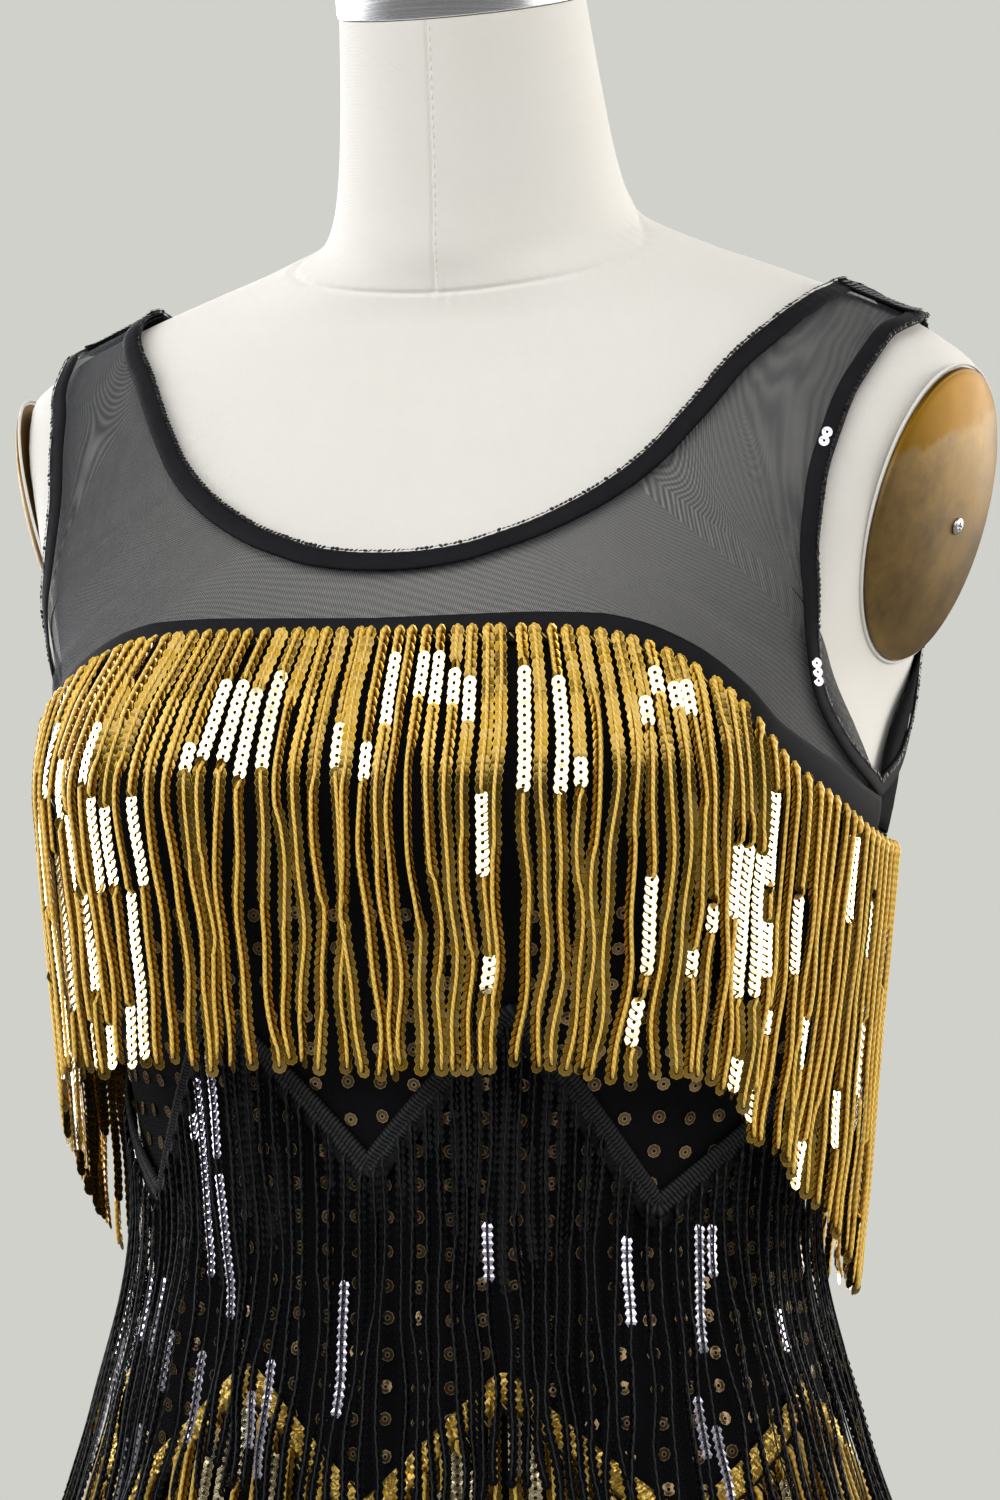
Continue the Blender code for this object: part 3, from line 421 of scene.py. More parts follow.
def makeSequinGroup():
    # a sequin read on its own UV disc: an edge ring painted as a highlight of light caught by the rim, a
    # second painted highlight ring round the hole when Inner Rim is above 0, a dark hole, and a face whose
    # colour runs with its tint
    group, given = newGroup(
        "sequinFace", Face=(0.1, 0.06, 0.01), Face_Two=(0.2, 0.1, 0.01), Edge=(0.8, 0.6, 0.2),
        Hole=(0.01, 0.01, 0.01), Edge_Start=0.88, Hole_Size=0.26, Inner_Rim=0.0, Edge_Fade=0.0,
        Metal=0.0, Metal_Two=0.9)
    fromMiddle = addNode(group, "VectorMath", ownUv(group), (0.5, 0.5, 0), operation="DISTANCE")
    radius = calc(group, "MULTIPLY", fromMiddle.outputs["Value"], 2.0)
    outer = calc(group, "GREATER_THAN", radius, given["Edge Start"])
    inner = calc(group, "LESS_THAN", radius, calc(group, "ADD", given["Hole Size"], given["Inner Rim"]))
    edge = calc(group, "MAXIMUM", outer, inner)
    hole = calc(group, "LESS_THAN", radius, given["Hole Size"])
    tint = addNode(group, "Attribute", attribute_name="tint").outputs["Fac"]
    face = mixColour(group, tint, given["Face"], given["Face Two"])
    faded = calc(group, "SUBTRACT", 1.0, calc(group, "MULTIPLY", tint, given["Edge Fade"]))
    rimHighlighted = mixColour(group, calc(group, "MULTIPLY", edge, faded), face, given["Edge"])
    gain = calc(group, "SUBTRACT", given["Metal Two"], given["Metal"])
    metallic = calc(group, "MULTIPLY_ADD", tint, gain, given["Metal"])
    return finishGroup(group, Color=mixColour(group, hole, rimHighlighted, given["Hole"]), Edge_Mask=edge,
                       Hole_Mask=hole, Metallic=metallic)


def makeTwistGroup():
    # twisted thread: slanting plies along the UV's v, which is the length in metres; the colour goes from
    # painted shade in the grooves between plies to a painted highlight on their crowns
    group, given = newGroup("twist", Pitch=0.0016, High=(1, 1, 1), Low=(0, 0, 0))
    parts = partsOf(group, ownUv(group))
    along = calc(group, "ADD", calc(group, "DIVIDE", parts[1], given["Pitch"]), parts[0])
    wave = calc(group, "SINE", calc(group, "MULTIPLY", along, 2 * math.pi))
    height = calc(group, "MULTIPLY_ADD", wave, 0.5, 0.5)
    return finishGroup(group, Color=mixColour(group, height, given["Low"], given["High"]), Height=height)


weaveGroup = makeWeaveGroup()
sequinGroup = makeSequinGroup()
twistGroup = makeTwistGroup()


def makeWoven(name, colour, roughness, specular, pitch, blotch, shownBy, low, high, relief):
    material, tree, shader = newMaterial(name, colour, roughness, Specular_IOR_Level=specular)
    weave = useGroup(tree, weaveGroup, Pitch=pitch, Blotch_Size=blotch)
    drive(tree, shader, Base_Color=mixColour(tree, weave[shownBy], low, high),
          Normal=bump(tree, weave["Height"], *relief))
    return material


net = {"pitch": 0.00125, "slants": (0.55, -0.35), "ripplePitch": 0.0036, "rippleSlant": 0.3, "wander": 12.0,
       "alpha": 0.335, "threads": 0.30, "moire": 0.05, "middle": 0.02, "sides": 5.0}


def makeYokeMesh():
    # stretch net: threads on the piece's UV, which is in metres. Alpha is a middle value, plus the product
    # of two slanting waves, plus a slow wandering wave, plus the square of the distance from the middle
    material, tree, shader = newMaterial("yokeMesh", (0.024, 0.028, 0.036), 0.75, Specular_IOR_Level=0.2)
    uv = ownUv(tree)
    u, v = partsOf(tree, uv)[:2]
    turns = 2 * math.pi / net["pitch"]
    slant, counter = [
        calc(tree, "SINE", calc(tree, "MULTIPLY", calc(tree, "MULTIPLY_ADD", a, share, b), turns))
        for a, share, b in ((u, net["slants"][0], v), (v, net["slants"][1], u))]
    threads = calc(tree, "MULTIPLY", slant, counter)
    wander = calc(tree, "MULTIPLY", noiseAt(tree, uv, Scale=22.0, Detail=2.0), net["wander"])
    place = calc(tree, "MULTIPLY_ADD", u, net["rippleSlant"], v)
    ripple = calc(tree, "MULTIPLY_ADD", place, 2 * math.pi / net["ripplePitch"], wander)
    moire = calc(tree, "MULTIPLY", calc(tree, "SINE", ripple), net["moire"])
    shifted = calc(tree, "SUBTRACT", partsOf(tree, objectPlace(tree))[0], net["middle"])
    sides = calc(tree, "MULTIPLY", calc(tree, "MULTIPLY", shifted, shifted), net["sides"])
    even = calc(tree, "MULTIPLY_ADD", threads, net["threads"], net["alpha"])
    alpha = calc(tree, "ADD", even, calc(tree, "ADD", moire, sides))
    drive(tree, shader, Alpha=alpha, Normal=bump(tree, threads, 0.3, 0.0002))
    return material


armPlate = {"halfHeight": 0.056, "halfWidth": 0.045, "thickness": 0.002, "dome": 0.008, "swell": 2.6,
            "gap": 0.0003, "rimRadius": 0.0006, "rimOut": 0.0002, "rimGap": 0.0006}
patina = {"dark": (0.13, 0.086, 0.036), "light": (0.28, 0.178, 0.060), "speck": (0.24, 0.165, 0.080),
          "clean": (0.17, 0.088, 0.008), "edgeShare": 0.55, "edgeFall": 0.35, "ragged": 0.030,
          "sharpness": 260.0, "positions": (0.36, 0.66)}


def makeBrass():
    # brown patina in clouds, and clean brass at the plate's top, whose ragged edge falls towards the front
    material, tree, shader = newMaterial("agedBrass", (0.42, 0.33, 0.16), 0.38, 1.0)
    place = objectPlace(tree)
    cloud = noiseAt(tree, place, Scale=34.0, Detail=8.0, Roughness=0.72)
    speck = noiseAt(tree, place, Scale=220.0, Detail=3.0)
    ramp = addNode(tree, "ValToRGB", cloud)
    ends = zip(ramp.color_ramp.elements, patina["positions"], (patina["dark"], patina["light"]))
    for element, position, colour in ends:
        element.position, element.color = position, (*colour, 1)
    brown = mixColour(tree, calc(tree, "MULTIPLY", speck, 0.35), ramp.outputs[0], patina["speck"])
    parts = partsOf(tree, place)
    rise = calc(tree, "MULTIPLY_ADD", parts[1], -patina["edgeFall"], parts[2])
    ragged = calc(tree, "MULTIPLY_ADD", cloud, patina["ragged"], rise)
    _, middleY, middleZ = armFlat["point"]
    edge = middleZ - patina["edgeFall"] * middleY + patina["edgeShare"] * armPlate["halfHeight"] \
        + patina["ragged"] / 2
    clean = calc(tree, "MULTIPLY", calc(tree, "SUBTRACT", ragged, edge), patina["sharpness"], clamp=True)
    drive(tree, shader, Base_Color=mixColour(tree, clean, brown, patina["clean"]),
          Roughness=calc(tree, "MULTIPLY_ADD", cloud, 0.22, 0.38))
    return material


def makeBrushed(name, colour, roughness, streak):
    # fine rings round the piece's own upright axis
    material, tree, shader = newMaterial(name, colour, roughness, 1.0)
    stretch = addNode(tree, "Mapping", objectPlace(tree), Scale=(6, 6, streak)).outputs[0]
    noise = noiseAt(tree, stretch, Scale=1.0, Detail=5.0)
    drive(tree, shader, Roughness=calc(tree, "MULTIPLY_ADD", noise, 0.22, roughness - 0.11),
          Normal=bump(tree, noise, 0.12, 0.0002))
    return material


def makeStandPaint():
    material, tree, shader = newMaterial("standPaint", (0.57, 0.56, 0.54), 0.38, Coat_Weight=0.2)
    place = objectPlace(tree)
    grain = noiseAt(tree, place, Scale=900.0, Detail=2.0)
    wear = noiseAt(tree, place, Scale=9.0, Detail=5.0)
    drive(tree, shader, Base_Color=mixColour(tree, wear, (0.60, 0.59, 0.57), (0.53, 0.52, 0.49)),
          Roughness=calc(tree, "MULTIPLY_ADD", wear, 0.25, 0.27), Normal=bump(tree, grain, 0.08, 0.0002))
    return material


# the edge colour is a painted highlight of light caught on the rim; the second face colour is a second tone
# for the clear sequins and the beads, and a painted flash for the fringe sequins
def makeSequinLook(name, face, secondToneAndPaintedFlash, edge, hole, roughness, metals, ior, **shape):
    material, tree, shader = newMaterial(name, face, roughness, metals[0], IOR=ior)
    disc = useGroup(tree, sequinGroup, Face=face, Face_Two=secondToneAndPaintedFlash, Edge=edge, Hole=hole,
                    Metal=metals[0], Metal_Two=metals[1], **shape)
    rough = calc(tree, "MULTIPLY_ADD", disc["Edge Mask"], 0.15, roughness)
    drive(tree, shader, Base_Color=disc["Color"], Metallic=disc["Metallic"],
          Roughness=calc(tree, "MULTIPLY_ADD", disc["Hole Mask"], 0.5, rough))
    return material


# high is a painted highlight on the ply crowns and low is painted shade in the grooves
def makeThreadLook(name, high, low, pitch, roughness, specular):
    material, tree, shader = newMaterial(name, high, roughness, Specular_IOR_Level=specular)
    twist = useGroup(tree, twistGroup, Pitch=pitch, High=high, Low=low)
    drive(tree, shader, Base_Color=twist["Color"], Normal=bump(tree, twist["Height"], 0.5, 0.0003))
    return material


def makeFoil():
    material, tree, shader = newMaterial("goldFoil", (0.75, 0.50, 0.10), 0.28, 0.9)
    # the colour follows the same crinkles as the bump: painted shade in their hollows and a painted
    # highlight on their ridges
    crease = noiseAt(tree, objectPlace(tree), Scale=420.0, Detail=4.0)
    drive(tree, shader, Base_Color=mixColour(tree, crease, (0.55, 0.34, 0.05), (0.95, 0.70, 0.20)),
          Normal=bump(tree, crease, 0.9, 0.0006))
    return material


canvas = makeWoven("formCanvas", (0.82, 0.79, 0.73), 0.85, 0.2, 0.0011, 0.05, "Blotch",
                   (0.80, 0.79, 0.755), (0.77, 0.745, 0.69), (0.35, 0.0002))
# blackKnit's colour follows the weave's Height: painted shade in the gaps between the threads and a painted
# highlight on their crowns
knit = makeWoven("blackKnit", (0.005, 0.005, 0.006), 0.8, 0.05, 0.0014, 0.02, "Height",
                 (0.0035, 0.0035, 0.0045), (0.009, 0.009, 0.011), (0.6, 0.0003))
trim = makeWoven("blackTrim", (0.004, 0.004, 0.005), 0.7, 0.1, 0.0008, 0.01, "Blotch",
                 (0.006, 0.006, 0.007), (0.015, 0.015, 0.018), (0.5, 0.0002))
yokeMesh = makeYokeMesh()
brass = makeBrass()
capChrome = makeBrushed("capChrome", (0.90, 0.91, 0.92), 0.26, 2600.0)
screwSteel = makeBrushed("screwSteel", (0.60, 0.60, 0.60), 0.32, 800.0)
standPaint = makeStandPaint()
# the pale gold second face of goldSequin and the near white violet second face of blackSequin, both almost
# mirrors, are painted flashes for the bright runs; the edge colours are painted rim highlights, strong on
# goldSequin and clearSequin and faint on blackSequin and trimBead, and clearSequin's inner rim is a painted
# highlight round the hole
goldSequin = makeSequinLook("goldSequin", (0.30, 0.18, 0.02), (1.0, 0.88, 0.56), (0.70, 0.42, 0.045),
                            (0.05, 0.03, 0.008), 0.15, (0.90, 0.92), 1.5, Edge_Fade=0.55)
blackSequin = makeSequinLook("blackSequin", (0.002, 0.002, 0.003), (0.88, 0.84, 0.98), (0.006, 0.006, 0.007),
                             (0.001, 0.001, 0.001), 0.14, (0.0, 0.92), 1.35, Edge_Fade=0.95)
trimBead = makeSequinLook("trimBead", (0.004, 0.004, 0.005), (0.012, 0.012, 0.014), (0.016, 0.016, 0.018),
                          (0.002, 0.002, 0.002), 0.45, (0.0, 0.0), 1.4)
clearSequin = makeSequinLook("clearSequin", (0.10, 0.062, 0.026), (0.25, 0.17, 0.08), (0.40, 0.29, 0.15),
                             (0.002, 0.002, 0.002), 0.18, (0.65, 0.75), 1.5, Edge_Start=0.84, Hole_Size=0.25,
                             Inner_Rim=0.13)
# each thread look's first colour is a painted highlight on the ply crowns and its second is painted shade in
# the grooves
goldThread = makeThreadLook("goldThread", (1.0, 0.78, 0.22), (0.85, 0.43, 0.025), 0.0028, 0.33, 0.35)
blackThread = makeThreadLook("blackThread", (0.028, 0.031, 0.032), (0.002, 0.002, 0.002), 0.0048, 0.5, 0.15)
gimp = makeThreadLook("blackGimp", (0.040, 0.042, 0.044), (0.002, 0.002, 0.002), 0.0016, 0.7, 0.15)
foil = makeFoil()
print("materials made")


stand = {"baseRadius": 0.215, "baseThickness": 0.014, "baseEdge": 0.004, "baseCrown": 0.002,
         "bossRadius": 0.028, "bossHeight": 0.050, "bossEdge": 0.003, "bossFillet": 0.012,
         "poleRadius": 0.015, "poleEdge": 0.0006, "foot": 0.001}
formShape = {"bottom": 0.745, "inset": 0.0010, "chest": 1.180, "seamFront": 1.406, "seamRise": 0.014,
             "seamReach": 0.005, "seamDepth": 0.0008, "seamWidth": 0.0011, "puckers": 62,
             "puckerHeight": 0.00025, "frontSeamTop": 5.0, "frontSeamDepth": 0.0006,
             "frontSeamWidth": 0.0008, "metresPerDegree": 0.00095, "stitchPitch": 0.0034,
             "stitchRadius": 0.00022, "stitchAside": 1.3, "stitchStart": 0.003,
             "stitchesShort": 0.006, "stitchShare": 0.62}
neckCap = {"radius": 0.0478, "height": 0.030, "crown": 0.004, "shoulder": 0.0012, "edge": 0.004,
           "foot": 0.0004, "gap": 0.0003}
tipRadius = 0.0005  # the small flat at the middle of a turned piece


def quarterRound(radius, height, edge):
    # the rounded corner of a turned profile, from its flat top to its upright side
    angle = np.linspace(0, math.pi / 2, 6)
    return [(radius - edge + edge * math.sin(a), height - edge + edge * math.cos(a)) for a in angle]


def buildStand():
    s = stand
    top, fillet = s["baseThickness"] + s["bossHeight"], s["bossFillet"]
    base = [(tipRadius, top)] + quarterRound(s["bossRadius"], top, s["bossEdge"])
    base += [(s["bossRadius"] + fillet * (1 - math.cos(a)), s["baseThickness"] + fillet * (1 - math.sin(a)))
             for a in np.linspace(0, math.pi / 2, 10)]
    base += quarterRound(s["baseRadius"], s["baseThickness"] - s["baseCrown"], s["baseEdge"])
    base += [(s["baseRadius"], s["foot"]), (s["baseRadius"] - s["foot"], 0.0)]
    low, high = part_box("pole")
    radius, edge = s["poleRadius"], s["poleEdge"]
    pole = [(radius - edge, high.z), (radius, high.z - edge), (radius, low.z)]
    addMesh("standBase", *turned(base, 128), standPaint, "stand_metal", "base_disc", sharp=40)
    addMesh("standPole", *turned(pole, 64), standPaint, "stand_metal", "pole", sharp=40)


def frontSeamTurn(level):
    low = formShape["seamFront"]
    return formShape["frontSeamTop"] * np.clip((level - low) / (neckTop - low), 0, 1)


def buildTorso():
    # columns crowd at the neck's front seam and rows at the seam round the neck's foot
    f, reach = formShape, formShape["seamReach"]
    columns = np.concatenate([np.arange(0, 360, 1.8), np.arange(-3, 9, 0.3) % 360])
    columns = np.unique(np.round(columns, 4))
    seam = (f["seamFront"] + f["seamRise"] * (1 - np.cos(np.radians(columns))))[:, None]
    low = np.linspace(0, 1, 24)[:-1] * (f["chest"] - f["bottom"]) + f["bottom"]
    chest = f["chest"] + np.linspace(0, 1, 76)[None, :-1] * (seam - reach - f["chest"])
    close = seam + np.linspace(-reach, reach, 21)[None]
    neck = seam + reach + np.linspace(0, 1, 34)[None, 1:] * (neckTop - seam - reach)
    levels = np.concatenate([np.broadcast_to(low, (len(columns), len(low))), chest, close, neck], axis=1)
    turns = np.broadcast_to(columns[:, None], levels.shape)
    fromSeam = (levels - seam) / f["seamWidth"]
    groove = f["seamDepth"] * np.exp(-fromSeam**2)
    pucker = f["puckerHeight"] * np.sin(np.radians(turns) * f["puckers"]) * np.exp(-(fromSeam / 5) ** 2)
    across = ((turns + 180) % 360 - 180 - frontSeamTurn(levels)) * f["metresPerDegree"]
    groove += f["frontSeamDepth"] * np.exp(-((across / f["frontSeamWidth"]) ** 2)) * (levels > seam)
    grid = onBody(turns, levels, -f["inset"] - groove + pucker, skirt=False)
    grid[:, 0, 2] = f["bottom"]
    addMesh("formBody", grid.reshape(-1, 3), tubeFaces(*grid.shape[:2]), canvas, "form_canvas", "form_torso",
            sharp=60)


def buildSeamStitches():
    # short stitches beside the neck's front seam, each a tiny tube that dips into the cloth at its ends
    f = formShape
    length = neckTop - f["seamFront"] - f["stitchesShort"]
    starts = f["seamFront"] + f["stitchStart"] + np.arange(0, length, f["stitchPitch"])
    share = np.linspace(0, 1, 5)
    levels = starts[:, None] + share * f["stitchPitch"] * f["stitchShare"]
    dip = -f["inset"] + f["stitchRadius"] * (1.6 * np.sin(share * math.pi) - 0.8)
    point, normal, around, _ = bodyFrame(frontSeamTurn(levels) + f["stitchAside"], levels)
    paths = point + normal * dip[None, :, None]
    radii = np.full(levels.shape, f["stitchRadius"])
    addThreads("neckStitches", paths, normal, around, radii, 5, canvas, "form_canvas")


def buildNeckCap():
    c = neckCap
    profile = [(tipRadius, c["height"]), (c["radius"] * 0.6, c["height"] - c["shoulder"])]
    profile += quarterRound(c["radius"], c["height"] - c["crown"] + c["shoulder"], c["edge"])
    profile += [(c["radius"], c["foot"]), (c["radius"] - c["foot"], 0.0)]
    points, faces = turned(profile, 128)
    tilt = math.radians(formRings[-1, 5])
    raised = np.array((0, -math.sin(tilt), math.cos(tilt))) * c["gap"]
    middle = np.array((0, formRings[-1, 4], neckTop)) + raised
    points = points @ np.array(Matrix.Rotation(tilt, 3, "X")).T + middle
    addMesh("neckCapBright", points, faces, capChrome, "cap_metal", "neck_cap", sharp=35)


plateScrew = {"radius": 0.0033, "height": 0.0012, "back": 0.005, "down": 0.002, "rim": 0.55, "crown": 0.45,
              "crossReach": 0.55, "crossHalf": 0.16, "crossDepth": 0.0007, "foot": 0.0002, "gap": 0.0001}


def armPlace(points, side, outShift, upShift=0.0, forwardShift=0.0):
    # points of (back, up, out) on the flat at one arm, in the object's frame
    out, up, forward = armAxes()
    back, rise, height = points[..., :1], points[..., 1:2], points[..., 2:]
    placed = np.array(armFlat["point"]) - back * forward + rise * up + height * out
    placed = placed + out * outShift + up * upShift + forward * forwardShift
    return placed * np.array((side, 1, 1))


def facesOn(side, faces):
    return faces if side > 0 else [face[:, ::-1] for face in faces]


def ovalRing(width, height, angle):
    return np.stack([width * np.cos(angle), height * np.sin(angle), np.zeros(len(angle))], axis=-1)


def buildPlate(sideName, side):
    # a pressed plate: a turned edge, then a face domed as 1 - share**swell
    p, thick = armPlate, armPlate["thickness"]
    profile = [(0.985, 0.0), (1.0, 0.0004), (1.0, thick - 0.0006), (0.993, thick), (0.982, thick + 0.0001)]
    profile += [(share, thick + p["dome"] * (1 - share ** p["swell"]))
                for share in np.linspace(0.975, 0.02, 20)]
    share, height = np.array(profile).T
    angle = circle(96)[:, None]
    wide, tall = p["halfWidth"] * share * np.cos(angle), p["halfHeight"] * share * np.sin(angle)
    grid = np.stack(np.broadcast_arrays(wide, tall, height[None]), axis=-1)
    points = armPlace(grid.reshape(-1, 3), side, p["gap"] - formShape["inset"])
    faces = facesOn(side, tubeFaces(*grid.shape[:2]))
    addMesh("armPlateBrass" + sideName, points, faces, brass, "plate_brass",
            "arm_plate_" + sideName.lower(), sharp=50)


def buildScrew(sideName, side):
    # the screw's head: a dome on a round grid, with a cross cut into it
    s, p, size = plateScrew, armPlate, 41
    x, y = np.meshgrid(np.linspace(-1, 1, size), np.linspace(-1, 1, size), indexing="ij")
    reach = np.maximum(np.maximum(np.abs(x), np.abs(y)), 1e-9) / np.maximum(np.hypot(x, y), 1e-9)
    x, y = x * reach, y * reach
    radius = np.hypot(x, y)
    longer, shorter = np.maximum(np.abs(x), np.abs(y)), np.minimum(np.abs(x), np.abs(y))
    cross = np.clip((s["crossReach"] - longer) * 8, 0, 1) * np.clip((s["crossHalf"] - shorter) * 14, 0, 1)
    dome = s["rim"] + s["crown"] * np.sqrt(np.clip(1 - radius**2, 0, 1))
    height = s["height"] * dome - s["crossDepth"] * cross
    height[radius > 0.999] = s["foot"]
    face = np.stack([x * s["radius"], y * s["radius"], height], axis=-1)
    rim = np.concatenate([np.arange(size) * size, (size - 1) * size + np.arange(1, size),
                          np.arange(size - 2, -1, -1) * size + size - 1, np.arange(size - 2, 0, -1)])
    nearSide = (s["back"] - s["radius"]) / p["halfWidth"]
    under = p["dome"] * (1 - nearSide ** p["swell"])
    seat = p["gap"] - formShape["inset"] + p["thickness"] + under + s["gap"]
    points = armPlace(face.reshape(-1, 3), side, seat, -s["down"], -s["back"])
    faces = facesOn(side, [gridFaces(size, size), rim[None, :]])
    addMesh("plateScrew" + sideName, points, faces, screwSteel, "screw_steel",
            "plate_screw_" + sideName.lower(), sharp=40)


def buildRim(sideName, side):
    # the canvas is rolled over a cord all round the plate
    p = armPlate
    gap = p["rimRadius"] + p["rimGap"]
    ring = ovalRing(p["halfWidth"] + gap, p["halfHeight"] + gap, circle(120))
    path = armPlace(ring, side, p["rimOut"] - formShape["inset"])[::side]
    out = np.broadcast_to(armAxes()[0] * np.array((side, 1, 1)), path.shape)
    cord = ovalRing(1, 1, circle(12))[:, :2] * p["rimRadius"]
    addSwept("armRim" + sideName, path, out, cord, canvas, "form_canvas")


sides = (("Left", 1), ("Right", -1))
buildStand()
buildTorso()
buildSeamStitches()
buildNeckCap()
for sideName, side in sides:
    buildPlate(sideName, side)
    buildScrew(sideName, side)
    buildRim(sideName, side)
print("form and stand made")

cloth = {"out": 0.0013, "netWall": 0.0004, "knitWall": 0.0010, "seamRise": 0.004, "bandSeamGap": 0.0008,
         "upperLevel": 1.140, "columns": 110, "rows": 84, "upperRows": 34}
bandLine = ((0, 1.2635), (28, 1.2635), (40, 1.2615), (46, 1.2570), (52, 1.2475), (58, 1.2320),
            (64, 1.2155), (74, 1.2005), (84, 1.1900), (92, 1.1862), (104, 1.1850), (180, 1.1850))
# neck turn, neck level, band turn
frontBandSpokes = ((0, 1.2960, 0), (6.5, 1.2963, 9), (13, 1.2974, 18), (19, 1.2993, 27), (25, 1.3027, 36),
                   (30, 1.3059, 44), (34.5, 1.3096, 52), (38.5, 1.3136, 60), (42, 1.3175, 69),
                   (45, 1.3215, 78), (48, 1.3260, 88))
backBandSpokes = ((136, 1.3440, 88), (141, 1.3400, 99), (146, 1.3370, 110), (151, 1.3347, 121),
                  (156.5, 1.3328, 132), (162, 1.3315, 144), (168, 1.3306, 156), (174, 1.3302, 168),
                  (180, 1.3300, 180))
# neck turn, neck level, arm turn, arm level
frontArmSpokes = ((50, 1.3295, 88, 1.2070), (53, 1.3357, 79.5, 1.2190), (56.5, 1.3445, 73, 1.2400),
                  (60, 1.3537, 69, 1.2660), (63, 1.3625, 67.8, 1.2930), (66.5, 1.3715, 69, 1.3180),
                  (71, 1.3805, 72, 1.3430), (76.5, 1.3880, 77, 1.3650), (83, 1.3928, 83, 1.3765),
                  (90, 1.3945, 90, 1.3800))
backArmSpokes = ((90, 1.3945, 90, 1.3800), (96, 1.3915, 97, 1.3800), (101, 1.3870, 103.5, 1.3735),
                 (105, 1.3822, 108.5, 1.3560), (108.5, 1.3775, 111.5, 1.3300), (112, 1.3727, 111.5, 1.3000),
                 (116, 1.3668, 108.8, 1.2670), (120, 1.3615, 105, 1.2400), (124.5, 1.3560, 98.5, 1.2195),
                 (130, 1.3500, 88, 1.2070))
# creases: turn, level, half length, half width, slant in degrees, height
yokeCreases = ((-58, 1.262, 0.030, 0.0035, 38, 0.0011), (-64, 1.245, 0.022, 0.0030, 52, 0.0010),
               (-50, 1.279, 0.026, 0.0040, 24, 0.0008), (60, 1.262, 0.028, 0.0035, -40, 0.0010),
               (66, 1.243, 0.022, 0.0032, -55, 0.0010), (52, 1.281, 0.022, 0.0040, -22, 0.0007))
backCreases = ((118, 1.225, 0.034, 0.0040, 50, 0.0014), (126, 1.240, 0.030, 0.0045, 35, 0.0012),
               (-118, 1.225, 0.034, 0.0040, -50, 0.0014), (-126, 1.240, 0.030, 0.0045, -35, 0.0012),
               (180, 1.315, 0.045, 0.0050, 0, 0.0008), (150, 1.210, 0.040, 0.0050, 12, 0.0009),
               (-150, 1.212, 0.040, 0.0050, -12, 0.0009), (97, 1.200, 0.018, 0.0030, 70, 0.0012),
               (-97, 1.200, 0.018, 0.0030, -70, 0.0012))
panelCreases = ((80, 1.172, 0.024, 0.0035, -35, 0.0013), (-80, 1.172, 0.024, 0.0035, 35, 0.0013),
                (0, 1.040, 0.060, 0.0045, 0, 0.0010), (40, 1.022, 0.050, 0.0045, 8, 0.0012),
                (-44, 1.026, 0.050, 0.0045, -8, 0.0012), (95, 1.046, 0.050, 0.0050, 6, 0.0013),
                (-95, 1.044, 0.050, 0.0050, -6, 0.0013), (140, 1.036, 0.060, 0.0050, 5, 0.0014),
                (-140, 1.034, 0.060, 0.0050, -5, 0.0014))


def creaseHeight(turn, level, creases):
    # soft ridges: a Gaussian across each crease and a longer one along it
    total = np.zeros(np.broadcast(turn, level).shape)
    for at, height, halfLength, halfWidth, slant, rise in creases:
        across = np.radians((turn - at + 180) % 360 - 180) * 0.15
        up = level - height
        c, s = math.cos(math.radians(slant)), math.sin(math.radians(slant))
        along, beside = (across * c + up * s) / halfLength, (up * c - across * s) / halfWidth
        total = total + rise * np.exp(-(along ** 2) - beside ** 2)
    return total


def bandLevel(turn):
    return readLine(bandLine, turn, smooth=True)


def bandRows(rows):
    table = np.array(rows)
    return np.column_stack([table, bandLevel(table[:, 2]) + cloth["seamRise"] + cloth["bandSeamGap"]])


def whole(half, centreTurn):
    # both halves of a table of spokes; columns 0 and 2 hold turns
    other = half[::-1].copy()
    other[:, (0, 2)] = 2 * centreTurn - other[:, (0, 2)]
    return np.concatenate([other[:-1], half]) if centreTurn == 0 else np.concatenate([half, other[1:]])


def finer(rows, columns):
    # the same rows read at many more places, smoothly
    at = np.arange(len(rows), dtype=float)
    return smoothRead(at, np.array(rows, float), np.linspace(0, len(rows) - 1, columns))


def yokeGrid(rows, cells, creases):
    share = np.linspace(0, 1, cells + 1)
    turn = rows[:, 2:3] * (1 - share) + rows[:, 0:1] * share
    level = rows[:, 3:4] * (1 - share) + rows[:, 1:2] * share
    edge = np.sin(share * math.pi)[None, :] ** 0.5
    return onBody(turn, level, cloth["out"] + creaseHeight(turn, level, creases) * edge)


def lengthUv(grid):
    # UV in metres: arc length round the piece at each row's place, and up from its lower edge
    across = runLengths(grid)
    return np.stack([across - across[len(across) // 2], runLengths(grid, 1)], axis=-1).reshape(-1, 2)


def buildPanel(name, low, high, node):
    turns = np.linspace(low, high, cloth["columns"])[:, None]
    upper, rows = cloth["upperLevel"], cloth["rows"]
    top = bandLevel(turns) + cloth["seamRise"]
    lower = np.broadcast_to(np.linspace(hemLevel, upper, rows)[None], (cloth["columns"], rows))
    share = np.linspace(0, 1, cloth["upperRows"])[None, 1:]
    levels = np.concatenate([lower, upper + (top - upper) * share], axis=1)
    grid = onBody(turns, levels, cloth["out"] + creaseHeight(turns, levels, panelCreases))
    return addCloth(name, grid, cloth["knitWall"], knit, "black_knit", node)


